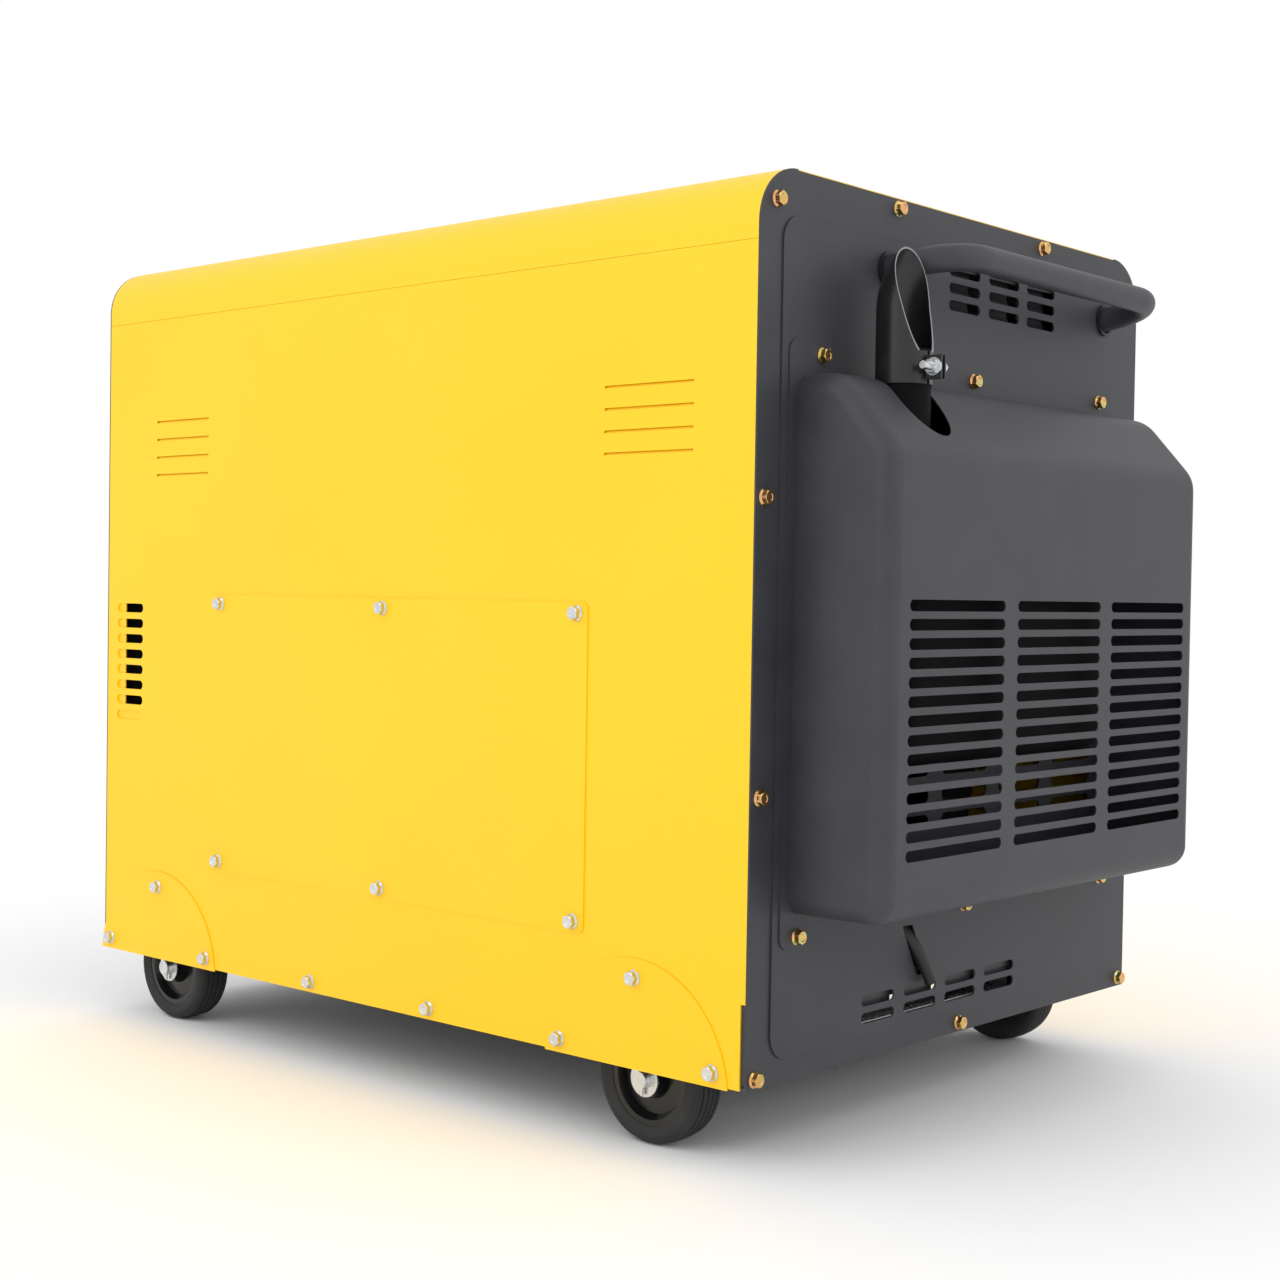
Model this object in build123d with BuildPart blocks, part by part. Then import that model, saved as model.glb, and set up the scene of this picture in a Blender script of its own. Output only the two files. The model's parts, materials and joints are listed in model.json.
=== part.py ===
from build123d import *
from math import atan2, cos, degrees, radians, sin, tan
import os

os.makedirs("parts", exist_ok=True)

# Silent generating set on four wheels. Frame: +X is the exhaust (rear) end, -Y the side with the
# service cover (left, seen from behind), +Z up. Origin: floor level, centre of the outer box. Millimetres.

# ---------------------------------------------------------------- driving sizes
body_length = 840.0
body_width = 582.0
body_height = 690.0
corner_radius = 45.0  # long top edges of the canopy
skin = 1.5  # canopy sheet
cover_plate = 1.2  # plates bolted on the sides
frame_sheet = 2.0  # inner frame, tray
seam_drop = 57.5  # top cover's lower edge below the roof
sheet_gap = 0.3

wheel_radius = 52.5
wheel_width = 34.0
wheel_inset = 16.0  # outer tyre face inside the canopy side
hub_radius = 38.0
axle_radius = 7.0
axle_drop = 12.0  # axle centre below the canopy's lower edge
rear_axle_setback = 112.0
front_axle_setback = 92.5
running_clearance = 0.05

cover_depth = 90.0  # muffler cover, out from the rear face
handle_reach = 60.0  # handle bar centre, out from the end face
handle_tube_radius = 11.0
handle_bore_radius = 9.0
handle_span = 352.0
handle_drop = 60.0  # handle legs below the roof
handle_bend = 48.0

bolt_radius = 3.0
bolt_hole_radius = 3.3
bolt_flange_radius = 6.5
bolt_flange = 1.6
bolt_across_flats = 10.0
bolt_head = 4.4
bolt_shank = 8.0

# ---------------------------------------------------------------- derived datum planes
half_width = body_width / 2
base = wheel_radius + axle_drop
roof = base + body_height
rear_overhang = cover_depth
front_overhang = handle_reach + handle_tube_radius
rear = (body_length + front_overhang - rear_overhang) / 2
front = rear - body_length
seam = roof - seam_drop
axle_height = wheel_radius
rear_axle_x = rear - rear_axle_setback
front_axle_x = front + front_axle_setback
left_face = Plane.XZ.offset(half_width)
right_face = Plane.XZ.offset(-half_width)
front_face = Plane(origin=(front, 0, 0), x_dir=(0, -1, 0), z_dir=(-1, 0, 0))


def arch(x, inset, bottom):
    """Canopy section at x, drawn inset from its outside, from height bottom up to the roof."""
    side = half_width - inset
    top = roof - inset
    with BuildSketch(Plane.YZ.offset(x)) as section:
        with Locations((0, (bottom + top) / 2)):
            Rectangle(2 * side, top - bottom)
        fillet(section.vertices().group_by(Axis.Y)[-1], corner_radius - inset)
    return section.sketch


def block(x0, x1, y0, y1, z0, z1, mode=Mode.ADD):
    """Rectangular block between two corners, inside the part being built."""
    with Locations(((x0 + x1) / 2, (y0 + y1) / 2, (z0 + z1) / 2)):
        Box(abs(x1 - x0), abs(y1 - y0), abs(z1 - z0), mode=mode)


# ---------------------------------------------------------------- shared bolt places
embossing = 1.5  # raised middle field of the rear panel
side_bolt_height = 9.5
end_bolt_inset = 10.0
end_low_bolt = 8.0
service_rear_margin = 167.0
service_front_margin = 179.0
service_bottom = 97.0
service_height = 265.0
arch_cover_radius = 95.5
arch_bolt_spread = 80.0
arch_bolt_rise = 70.0

service_length = body_length - service_rear_margin - service_front_margin
service_x = (rear - service_rear_margin + front + service_front_margin) / 2
service_z = base + service_bottom + service_height / 2
service_bolts = [
    (service_x + i * (service_length / 2 - 12), service_z + j * (service_height / 2 - 9))
    for i in (-1, 0, 1)
    for j in (-1, 1)
]
arch_bolts = []
for axle_x in (front_axle_x, rear_axle_x):
    arch_bolts += [
        (axle_x, base + arch_bolt_rise),
        (axle_x - arch_bolt_spread, base + side_bolt_height),
        (axle_x + arch_bolt_spread, base + side_bolt_height),
    ]
sill_span = rear_axle_x - front_axle_x
sill_bolts = [
    (front_axle_x + sill_span * share, base + side_bolt_height) for share in (0.375, 0.627)
]
end_side_y = half_width - end_bolt_inset
end_bolts_yz = [(s * end_side_y, base + end_low_bolt) for s in (-1, 1)]
end_bolts_yz += [(0, base + end_low_bolt)]
end_bolts_yz += [(s * end_side_y, base + body_height * share) for s in (-1, 1) for share in (0.317, 0.641)]
end_bolts_yz += [(s * (half_width - 20), roof - 26) for s in (-1, 1)]
end_bolts_yz += [(s * body_width * 0.194, roof - 9) for s in (-1, 1)]

low_side_bolts = sill_bolts + [place for place in arch_bolts if place[1] < base + arch_bolt_rise / 2]


def drill_low_side_holes():
    """Holes for the low side bolts, through both sides of the part being built."""
    with BuildSketch(left_face) as holes:
        with Locations(*low_side_bolts):
            Circle(bolt_radius + running_clearance)
    extrude(holes.sketch, amount=-body_width, mode=Mode.SUBTRACT)


# ---------------------------------------------------------------- base tray
floor_height = 45.0  # tray floor's underside above the canopy's lower edge
tray_flange_low = 2.0
end_flange_height = 18.0
frame_inset = skin + 2.0
floor_z = base + floor_height
tray_end = skin + frame_sheet + sheet_gap
pan_depth = 12.0
post_leg = 25.0

with BuildPart() as base_tray:
    block(front + tray_end, rear - tray_end, -half_width + skin, half_width - skin,
          floor_z, floor_z + frame_sheet)
    for x0, x1 in ((front, front + post_leg + 4), (rear - post_leg - 4, rear)):
        for s in (-1, 1):
            y_in = s * (half_width - frame_inset - frame_sheet - sheet_gap)
            block(x0, x1, y_in, s * half_width, floor_z - 5, floor_z + 5, mode=Mode.SUBTRACT)
    for s in (-1, 1):
        block(front + post_leg + 4, rear - post_leg - 4, s * (half_width - skin),
              s * (half_width - skin - frame_sheet), base + tray_flange_low, floor_z + frame_sheet)
    end_y = half_width - frame_inset - frame_sheet - 1
    for x in (front + tray_end, rear - tray_end - frame_sheet):
        block(x, x + frame_sheet, -end_y, end_y, floor_z, floor_z + end_flange_height)
    drill_low_side_holes()
base_tray.part.label = "base_tray"
export_step(base_tray.part, "parts/base_tray.step")

# ---------------------------------------------------------------- welded inner frame
top_plate_drop = corner_radius + 1
rail_drop = 145.0  # tank rails' lower face below the roof
rail_low = body_height - rail_drop
rail_height = 30.0
beam_inset = skin + post_leg - 3
beam_height = 40.0
handle_z = roof - handle_drop
tank_bar = 30.0
tank_bars_x = (front + 120, front + 360)
post_side = half_width - frame_inset


def frame_end(x_face, inward):
    """One end of the inner frame: two corner posts, arched top plate, bottom bar, handle beam."""
    x_in = x_face + inward * skin
    x_leg = x_in + inward * frame_sheet
    for s in (-1, 1):
        y_out = s * post_side
        block(x_in, x_leg, y_out, s * (post_side - post_leg), base + tray_flange_low, roof - top_plate_drop)
        block(x_in, x_in + inward * post_leg, y_out, s * (post_side - frame_sheet),
              base + tray_flange_low, roof - top_plate_drop)
    y_bar = post_side - post_leg
    block(x_in, x_leg, -y_bar, y_bar, base + tray_flange_low, base + 28)
    x_beam = x_face + inward * beam_inset
    y_beam = post_side - frame_sheet
    block(x_beam, x_beam + inward * 3, -y_beam, y_beam, handle_z - beam_height / 2,
          handle_z + beam_height / 2)


with BuildPart() as inner_frame:
    for x_face, inward in ((front, 1), (rear, -1)):
        frame_end(x_face, inward)
        extrude(arch(x_face + inward * skin, skin * 2, roof - top_plate_drop), amount=inward * frame_sheet)
    for s in (-1, 1):
        block(front + skin + post_leg, rear - skin - post_leg, s * post_side, s * (post_side - frame_sheet),
              base + rail_low, base + rail_low + rail_height)
    for x in tank_bars_x:
        block(x, x + tank_bar, -post_side, post_side, base + rail_low + rail_height,
              base + rail_low + rail_height + 3)
    with BuildSketch(Plane.YZ.offset(front)):
        with Locations(*end_bolts_yz):
            Circle(bolt_radius + running_clearance)
    extrude(amount=body_length, mode=Mode.SUBTRACT)
    drill_low_side_holes()
inner_frame.part.label = "inner_frame"
export_step(inner_frame.part, "parts/inner_frame.step")

# ---------------------------------------------------------------- axle brackets, axles, wheels
bracket_inset = wheel_inset + wheel_width + 4
bracket_sheet = 4.0
bracket_width = 54.0
bracket_foot = 30.0

with BuildPart() as axle_brackets:
    for axle_x in (front_axle_x, rear_axle_x):
        for s in (-1, 1):
            y_out = s * (half_width - bracket_inset)
            y_in = y_out - s * bracket_sheet
            with BuildSketch(Plane.XZ.offset(-y_out)):
                with BuildLine():
                    outer = bracket_width / 2
                    Polyline((axle_x - outer, floor_z), (axle_x + outer, floor_z), (axle_x + 16, axle_height))
                    ThreePointArc((axle_x + 16, axle_height), (axle_x, axle_height - 16),
                                  (axle_x - 16, axle_height))
                    Line((axle_x - 16, axle_height), (axle_x - outer, floor_z))
                make_face()
                with Locations((axle_x, axle_height)):
                    Circle(axle_radius + running_clearance, mode=Mode.SUBTRACT)
            extrude(amount=s * bracket_sheet)
            block(axle_x - outer, axle_x + outer, y_in, y_in - s * bracket_foot, floor_z - bracket_sheet,
                  floor_z)
axle_brackets.part.label = "axle_brackets"
export_step(axle_brackets.part, "parts/axle_brackets.step")

axle_end_inset = 7.0
pin_radius = 1.6
pin_inset = axle_end_inset + 3.6

with BuildPart() as axles:
    for axle_x in (front_axle_x, rear_axle_x):
        with BuildSketch(Plane.XZ.offset(half_width - axle_end_inset)):
            with Locations((axle_x, axle_height)):
                Circle(axle_radius)
        extrude(amount=-(body_width - 2 * axle_end_inset))
        for s in (-1, 1):
            with Locations((axle_x, s * (half_width - pin_inset), axle_height)):
                Cylinder(pin_radius + running_clearance, 4 * axle_radius, mode=Mode.SUBTRACT)
axles.part.label = "axles"
export_step(axles.part, "parts/axles.step")

washer_radius = 14.0
outer_washer = 2.4
pin_eye = 3.6

with BuildPart() as axle_retainers:
    for axle_x in (front_axle_x, rear_axle_x):
        for s in (-1, 1):
            y_inner = s * (half_width - wheel_inset - wheel_width - sheet_gap)
            y_outer = s * (half_width - wheel_inset + sheet_gap)
            inner_washer = bracket_inset - wheel_inset - wheel_width - sheet_gap
            for y, thick in ((y_inner - s * inner_washer / 2, inner_washer),
                             (y_outer + s * outer_washer / 2, outer_washer)):
                with Locations(Location((axle_x, y, axle_height), (90, 0, 0))):
                    Cylinder(washer_radius, thick)
                    Cylinder(axle_radius + running_clearance, thick, mode=Mode.SUBTRACT)
    for axle_x in (front_axle_x, rear_axle_x):
        for s in (-1, 1):
            y_pin = s * (half_width - pin_inset)
            with Locations((axle_x, y_pin, axle_height)):
                Cylinder(pin_radius, 3.4 * axle_radius)
            with Locations(Location((axle_x, y_pin, axle_height + 1.7 * axle_radius + pin_eye - 1),
                                    (90, 0, 0))):
                Torus(pin_eye, 1.3)
axle_retainers.part.label = "axle_retainers"
export_step(axle_retainers.part, "parts/axle_retainers.step")

wheel_places = {
    "rear_left": (rear_axle_x, -1),
    "rear_right": (rear_axle_x, 1),
    "front_left": (front_axle_x, -1),
    "front_right": (front_axle_x, 1),
}
hub_boss_radius = 15.0
dish_depth = 9.0

for place, (axle_x, s) in wheel_places.items():
    spin_axis = Axis((axle_x, 0, axle_height), (0, 1, 0))
    wheel_mid = s * (half_width - wheel_inset - wheel_width / 2)
    half_tread = wheel_width / 2
    with BuildPart() as wheel_hub:
        with BuildSketch(Plane(origin=(axle_x, wheel_mid, axle_height), x_dir=(0, s, 0), z_dir=(1, 0, 0))):
            with BuildLine():
                Polyline(
                    (-half_tread + 1, axle_radius + running_clearance), (half_tread - 1,
                                                                         axle_radius + running_clearance),
                    (half_tread - 1, hub_boss_radius), (half_tread - dish_depth, hub_boss_radius + 2),
                    (half_tread - dish_depth - 1, hub_radius - 9), (half_tread - 3, hub_radius - 5),
                    (half_tread - 3, hub_radius), (3 - half_tread, hub_radius), (3 - half_tread,
                                                                                 hub_radius - 5),
                    (dish_depth - half_tread, hub_radius - 7), (dish_depth - half_tread, hub_boss_radius + 2),
                    (1 - half_tread, hub_boss_radius), close=True)
            make_face()
        revolve(axis=spin_axis)
    wheel_hub.part.label = f"{place}_wheel_hub"
    export_step(wheel_hub.part, f"parts/{place}_wheel_hub.step")

    with BuildPart() as tyre:
        with BuildSketch(Plane(origin=(axle_x, wheel_mid, axle_height), x_dir=(0, s, 0), z_dir=(1, 0, 0))):
            with BuildLine():
                Polyline((-half_tread, wheel_radius - 8), (-half_tread + 2.5, hub_radius),
                         (half_tread - 2.5, hub_radius),
                         (half_tread, wheel_radius - 8))
                Spline((half_tread, wheel_radius - 8), (half_tread * 0.72, wheel_radius - 1.6),
                       (0, wheel_radius),
                       (-half_tread * 0.72, wheel_radius - 1.6), (-half_tread, wheel_radius - 8))
            make_face()
        revolve(axis=spin_axis)
    tyre.part.label = f"{place}_tyre"
    export_step(tyre.part, f"parts/{place}_tyre.step")

# ---------------------------------------------------------------- side panels
vent_top = 531.3
vent_pitch = 17.5
vent_slit = 2.2
rear_vent = (61.0, 153.0)
front_vent = (83.0, 168.0)
grille_margin = 18.0
grille_length = 44.0
grille_top = 346.5
grille_pitch = 15.45
grille_slot = 9.0
grille_slots = 8
arch_notch_radius = 62.0
corner_notch = (4.6, 65.0)
doubler = 1.2
seam_lap = 12.0
service_lap = 18.0


def side_outline():
    """Outline of a side sheet on a side plane, with its wheel notches and sill bolt holes."""
    with Locations(((front + rear) / 2, (base + seam - sheet_gap) / 2)):
        Rectangle(body_length - 2 * skin, seam - sheet_gap - base)
    with Locations((front_axle_x, axle_height), (rear_axle_x, axle_height)):
        Circle(arch_notch_radius, mode=Mode.SUBTRACT)
    with Locations(*sill_bolts, *arch_bolts):
        Circle(bolt_hole_radius, mode=Mode.SUBTRACT)


def vent_slits():
    """Four fine louvre slits at each end of a side sheet."""
    for x0, x1 in ((rear - rear_vent[1], rear - rear_vent[0]),
                   (front + front_vent[0], front + front_vent[1])):
        with Locations(*[((x0 + x1) / 2, base + vent_top - row * vent_pitch) for row in range(4)]):
            Rectangle(x1 - x0, vent_slit, mode=Mode.SUBTRACT)


with BuildPart() as left_side_panel:
    with BuildSketch(left_face):
        side_outline()
        vent_slits()
        with Locations(*[(front + grille_margin + grille_length / 2, base + grille_top - row * grille_pitch)
                         for row in range(grille_slots)]):
            SlotOverall(grille_length, grille_slot, mode=Mode.SUBTRACT)
        with Locations((service_x, service_z)):
            RectangleRounded(service_length - 2 * service_lap, service_height - 2 * service_lap, 8,
                             mode=Mode.SUBTRACT)
        with Locations(*service_bolts):
            Circle(bolt_hole_radius, mode=Mode.SUBTRACT)
    extrude(amount=-skin)
    lap_x = pan_depth + 2
    y_lap = -half_width + skin
    block(front + lap_x, rear - lap_x, y_lap, y_lap + doubler, seam - seam_lap, seam + seam_lap)
    block(front + lap_x, front + grille_margin + 12, y_lap, y_lap + doubler, base + 60, seam - seam_lap)
    low_slot = base + grille_top - (grille_slots - 1.5) * grille_pitch
    block(front + lap_x, front + grille_margin + grille_length + 4, y_lap, y_lap + doubler, base + 200,
          low_slot)
    block(rear - skin - corner_notch[0], rear, -half_width, -half_width + skin, base, base + corner_notch[1],
          mode=Mode.SUBTRACT)
left_side_panel.part.label = "left_side_panel"
export_step(left_side_panel.part, "parts/left_side_panel.step")

door_length = 400.0
door_height = 380.0
door_x = (front + rear) / 2 - 20
door_bottom = 120.0
door_gap = 2.0
door_rim = 14.0
door_z = base + door_bottom + door_height / 2
door_hinge_x = door_x - door_length / 2 - door_gap / 2
hinge_pin_radius = 2.0
hinge_radius = 4.2
hinge_length = 16.0
hinge_y = half_width + 1.0
hinge_heights = (door_z - door_height / 2 + 60, door_z + door_height / 2 - 60)
latch_x = door_x + door_length / 2 - 30
latch_radius = 11.0

with BuildPart() as right_side_panel:
    with BuildSketch(right_face):
        side_outline()
        vent_slits()
        with Locations((door_x, door_z)):
            RectangleRounded(door_length + 2 * door_gap, door_height + 2 * door_gap, 6, mode=Mode.SUBTRACT)
    extrude(amount=skin)
    y_lap = half_width - skin
    block(front + lap_x, rear - lap_x, y_lap, y_lap - doubler, seam - seam_lap, seam + seam_lap)
    striker_x = door_x + door_length / 2 + door_gap + 2
    block(striker_x, striker_x + 9, y_lap, half_width - door_rim - 0.2, door_z - 10, door_z + 10)
    for z in hinge_heights:
        with Locations((door_hinge_x, hinge_y, z)):
            Cylinder(hinge_radius + 0.6, 3 * hinge_length + 2, mode=Mode.SUBTRACT)
        for side in (-1, 1):
            z_knuckle = z + side * hinge_length
            with Locations((door_hinge_x, hinge_y, z_knuckle)):
                Cylinder(hinge_radius, hinge_length - 0.6)
            block(door_hinge_x - 14, door_hinge_x, half_width, half_width + 1.5,
                  z_knuckle - hinge_length / 2 + 0.3, z_knuckle + hinge_length / 2 - 0.3)
            with Locations((door_hinge_x, hinge_y, z_knuckle)):
                Cylinder(hinge_pin_radius + running_clearance, hinge_length, mode=Mode.SUBTRACT)
right_side_panel.part.label = "right_side_panel"
export_step(right_side_panel.part, "parts/right_side_panel.step")

with BuildPart() as door_hinge_pins:
    for z in hinge_heights:
        with Locations((door_hinge_x, hinge_y, z)):
            Cylinder(hinge_pin_radius, 3 * hinge_length)
door_hinge_pins.part.label = "door_hinge_pins"
export_step(door_hinge_pins.part, "parts/door_hinge_pins.step")

with BuildPart() as access_door:
    with BuildSketch(right_face):
        with Locations((door_x, door_z)):
            RectangleRounded(door_length, door_height, 5)
    extrude(amount=door_rim)
    with BuildSketch(right_face.offset(skin)):
        with Locations((door_x, door_z)):
            RectangleRounded(door_length - 2 * skin, door_height - 2 * skin, 3.5)
    extrude(amount=door_rim, mode=Mode.SUBTRACT)
    with BuildSketch(right_face):
        with Locations((latch_x, door_z)):
            Circle(latch_radius - 2 + running_clearance)
    extrude(amount=door_rim, mode=Mode.SUBTRACT)
    for z in hinge_heights:
        with Locations((door_hinge_x, hinge_y, z)):
            Cylinder(hinge_radius + 0.6, 3 * hinge_length + 2, mode=Mode.SUBTRACT)
            Cylinder(hinge_radius, hinge_length - 0.6)
        block(door_hinge_x, door_hinge_x + 14, half_width, half_width + 1.5, z - hinge_length / 2 + 0.3,
              z + hinge_length / 2 - 0.3)
        with Locations((door_hinge_x, hinge_y, z)):
            Cylinder(hinge_pin_radius + running_clearance, hinge_length, mode=Mode.SUBTRACT)
access_door.part.label = "access_door"
export_step(access_door.part, "parts/access_door.step")

with BuildPart() as door_latch:
    with BuildSketch(right_face.offset(-sheet_gap)):
        with Locations((latch_x, door_z)):
            Circle(latch_radius)
    extrude(amount=-3.5)
    with BuildSketch(right_face.offset(-sheet_gap)):
        with Locations((latch_x, door_z)):
            Circle(latch_radius - 2)
    extrude(amount=20)
    with BuildSketch(right_face.offset(door_rim + sheet_gap + 0.2)):
        with Locations((latch_x, door_z - 17)):
            Rectangle(14, 54)
    extrude(amount=2.5)
    with BuildSketch(right_face.offset(-sheet_gap - 3.5)):
        with Locations((latch_x, door_z)):
            Rectangle(3, 14)
    extrude(amount=2, mode=Mode.SUBTRACT)
door_latch.part.label = "door_latch"
export_step(door_latch.part, "parts/door_latch.step")

with BuildPart() as service_cover:
    with BuildSketch(left_face):
        with Locations((service_x, service_z)):
            RectangleRounded(service_length, service_height, 6)
        with Locations(*service_bolts):
            Circle(bolt_hole_radius, mode=Mode.SUBTRACT)
    extrude(amount=cover_plate)
service_cover.part.label = "service_cover"
export_step(service_cover.part, "parts/service_cover.step")

with BuildPart() as wheel_arch_covers:
    for side_plane, outward in ((left_face, 1), (right_face, -1)):
        with BuildSketch(side_plane):
            for axle_x in (front_axle_x, rear_axle_x):
                with Locations((axle_x, base - 10)):
                    Circle(arch_cover_radius)
            with Locations(((front + rear) / 2, base - 1.5 - body_height / 2)):
                Rectangle(2 * body_length, body_height, mode=Mode.SUBTRACT)
            with Locations(*arch_bolts):
                Circle(bolt_hole_radius, mode=Mode.SUBTRACT)
        extrude(amount=outward * cover_plate)
wheel_arch_covers.part.label = "wheel_arch_covers"
export_step(wheel_arch_covers.part, "parts/wheel_arch_covers.step")

# ---------------------------------------------------------------- top cover
filler_x = front + 200
neck_radius = 28.0
neck_clearance = 4.0

with BuildPart() as top_cover:
    extrude(arch(front + skin, 0, seam), amount=body_length - 2 * skin)
    extrude(arch(front, skin, seam - 1), amount=body_length, mode=Mode.SUBTRACT)
    with Locations((filler_x, 0, roof)):
        Cylinder(neck_radius + neck_clearance, 20, mode=Mode.SUBTRACT)
top_cover.part.label = "top_cover"
export_step(top_cover.part, "parts/top_cover.step")

# ---------------------------------------------------------------- muffler cover, rear panel
cover_sheet = 1.2
cover_side = 246.0
cover_low = 127.0
cover_flange_low = 101.0
cover_flange_side = 256.0
cover_flange_drop = 127.0  # flange's top edge below the roof
cover_shoulder_run = 40.0
cover_shoulder_fall = 56.0
cover_corner_radii = (34.0, 30.0, 20.0)  # top, shoulder and bottom bends
cover_end_radius = 15.0
cover_flange_top = roof - cover_flange_drop
cover_top = cover_flange_top - 26
cover_bottom = base + cover_low
cover_back = rear + embossing
louvre_rows = 14
louvre_length = 134.0
louvre_slot = 8.7
louvre_columns = 3
louvre_pitch_y = 153.0
louvre_low = 51.0
louvre_high = 173.0
exhaust_y = -161.5
exhaust_x = rear + 41
exhaust_pipe_radius = 21.0
pipe_slot_half = 27.0
flange_bolts_yz = [(y, cover_flange_top - 10) for y in (-215, 0, 215)]
flange_bolts_yz += [(y, base + cover_flange_low + 9) for y in (-235, 0, 235)]

def cover_form(inset):
    """Closed drawn form of the muffler cover, with every wall moved in by inset."""
    fall_angle = degrees(atan2(cover_shoulder_fall, cover_depth - cover_shoulder_run))
    x_back = cover_back - (1 if inset else 0)
    x_run = rear + cover_shoulder_run - inset * tan(radians(fall_angle / 2))
    x_front = rear + cover_depth - inset
    z_top = cover_top - inset
    z_shoulder = cover_top - cover_shoulder_fall - inset * tan(radians(45 - fall_angle / 2))
    z_bottom = cover_bottom + inset
    corner_radii = [radius - inset for radius in cover_corner_radii]
    with BuildPart(mode=Mode.PRIVATE) as form:
        with BuildSketch(Plane.XZ) as section:
            with BuildLine():
                FilletPolyline((x_back, z_top), (x_run, z_top), (x_front, z_shoulder),
                               (x_front, z_bottom), (x_back, z_bottom), radius=corner_radii)
                Line((x_back, z_bottom), (x_back, z_top))
            make_face()
        extrude(section.sketch, amount=cover_side - inset, both=True)
        back_edges = form.edges().group_by(Axis.X)[0]
        side_faces = form.faces().group_by(Axis.Y)
        end_edges = side_faces[0].edges() + side_faces[-1].edges()
        fillet([e for e in end_edges if e not in back_edges], cover_end_radius - inset)
    return form.part


cover_outside = cover_form(0)
cover_inside = cover_form(cover_sheet)

with BuildPart() as muffler_cover:
    add(cover_outside)
    add(cover_inside, mode=Mode.SUBTRACT)
    with BuildSketch(Plane.YZ.offset(cover_back)):
        with Locations((0, (base + cover_flange_low + cover_flange_top) / 2)):
            RectangleRounded(2 * cover_flange_side, cover_flange_top - base - cover_flange_low, 10)
        with Locations((0, (cover_top + cover_bottom) / 2)):
            RectangleRounded(2 * cover_side - 2, cover_top - cover_bottom - 2, 14, mode=Mode.SUBTRACT)
        with Locations(*flange_bolts_yz):
            Circle(bolt_hole_radius, mode=Mode.SUBTRACT)
    extrude(amount=cover_sheet)
    louvre_top_z = cover_top - louvre_high
    louvre_bottom_z = cover_bottom + louvre_low
    louvre_pitch = (louvre_top_z - louvre_bottom_z) / (louvre_rows - 1)
    with BuildSketch(Plane.YZ.offset(rear + cover_depth + 1)):
        with Locations((0, (louvre_top_z + louvre_bottom_z) / 2)):
            with GridLocations(louvre_pitch_y, louvre_pitch, louvre_columns, louvre_rows):
                SlotOverall(louvre_length, louvre_slot)
    extrude(amount=-5, mode=Mode.SUBTRACT)
    with BuildSketch(Plane.XY.offset(cover_top - cover_shoulder_fall - 20)):
        with Locations((exhaust_x + 6, exhaust_y)):
            SlotOverall(2 * pipe_slot_half + 11, 2 * pipe_slot_half)
    extrude(amount=cover_shoulder_fall + 40, mode=Mode.SUBTRACT)
muffler_cover.part.label = "muffler_cover"
export_step(muffler_cover.part, "parts/muffler_cover.step")

handle_y = 48.0  # rear handle's centre, off the canopy's centre to clear the exhaust
grommet_neck = handle_tube_radius + 1.5
upper_slots_y = [(-38.5, 9.5), (23.5, 73.0), (86.0, 134.0)]
upper_slots_drop = (48.0, 62.2, 76.5)
lower_slots_y = [(-146.0, -100.0), (-86.0, -38.5), (-25.0, 23.0), (37.0, 86.0)]
lower_slots_rise = (47.0, 33.0)
end_slot = 8.7
inlet_pipe_radius = 16.0
inlet_z = base + 435
hose_radius = 5.3
hose_slot = [(-83.5, base + 103.0), (-63.5, base + 64.0)]  # slanted slot's end centres


def end_sheet(x_face, inward):
    """End sheet of the canopy: arched face with short flanges turned into the body."""
    extrude(arch(x_face, 0, base), amount=inward * skin)
    x0, x1 = x_face + inward * skin, x_face + inward * pan_depth
    for s in (-1, 1):
        block(x0, x1, s * (half_width - skin), s * (half_width - 2 * skin), base + 4, seam - seam_lap)
    flat = half_width - corner_radius
    block(x0, x1, -flat, flat, roof - 2 * skin, roof - skin)


with BuildPart() as rear_panel:
    end_sheet(rear, -1)
    field_side = half_width - 27
    field_low, field_high = base + 18, roof - 35
    for grow, x_from, depth, mode in ((0, rear, embossing, Mode.ADD),
                                      (skin, rear - skin, embossing, Mode.SUBTRACT)):
        with BuildSketch(Plane.YZ.offset(x_from)):
            with Locations((0, (field_low + field_high) / 2)):
                RectangleRounded(2 * (field_side - grow), field_high - field_low - 2 * grow, 20 - grow)
        extrude(amount=depth, mode=mode)
    block(rear - skin, rear, -half_width + corner_radius, half_width - corner_radius, roof - 1.2, roof,
          mode=Mode.SUBTRACT)
    with BuildSketch(Plane.YZ.offset(rear - skin - 1)):
        with Locations(*end_bolts_yz, *flange_bolts_yz):
            Circle(bolt_hole_radius)
        for y0, y1 in upper_slots_y:
            with Locations(*[((y0 + y1) / 2, roof - drop) for drop in upper_slots_drop]):
                SlotOverall(y1 - y0, end_slot)
        for y0, y1 in lower_slots_y:
            with Locations(*[((y0 + y1) / 2, base + rise) for rise in lower_slots_rise]):
                SlotOverall(y1 - y0, end_slot)
        with Locations((handle_y - handle_span / 2, handle_z), (handle_y + handle_span / 2, handle_z)):
            Circle(grommet_neck + running_clearance)
        with Locations((0, inlet_z)):
            Circle(inlet_pipe_radius + 3)
        with Locations((0, (cover_top + cover_bottom) / 2 - 60)):
            with GridLocations(90, 22, 5, 9):
                SlotOverall(70, 12)
        hose_run = Vector(*hose_slot[1]) - Vector(*hose_slot[0])
        with Locations((Vector(*hose_slot[0]) + Vector(*hose_slot[1])) / 2):
            SlotCenterToCenter(hose_run.length, 2 * hose_radius + 2.4, degrees(atan2(hose_run.Y, hose_run.X)))
    extrude(amount=skin + embossing + 2, mode=Mode.SUBTRACT)
rear_panel.part.label = "rear_panel"
export_step(rear_panel.part, "parts/rear_panel.step")

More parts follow.
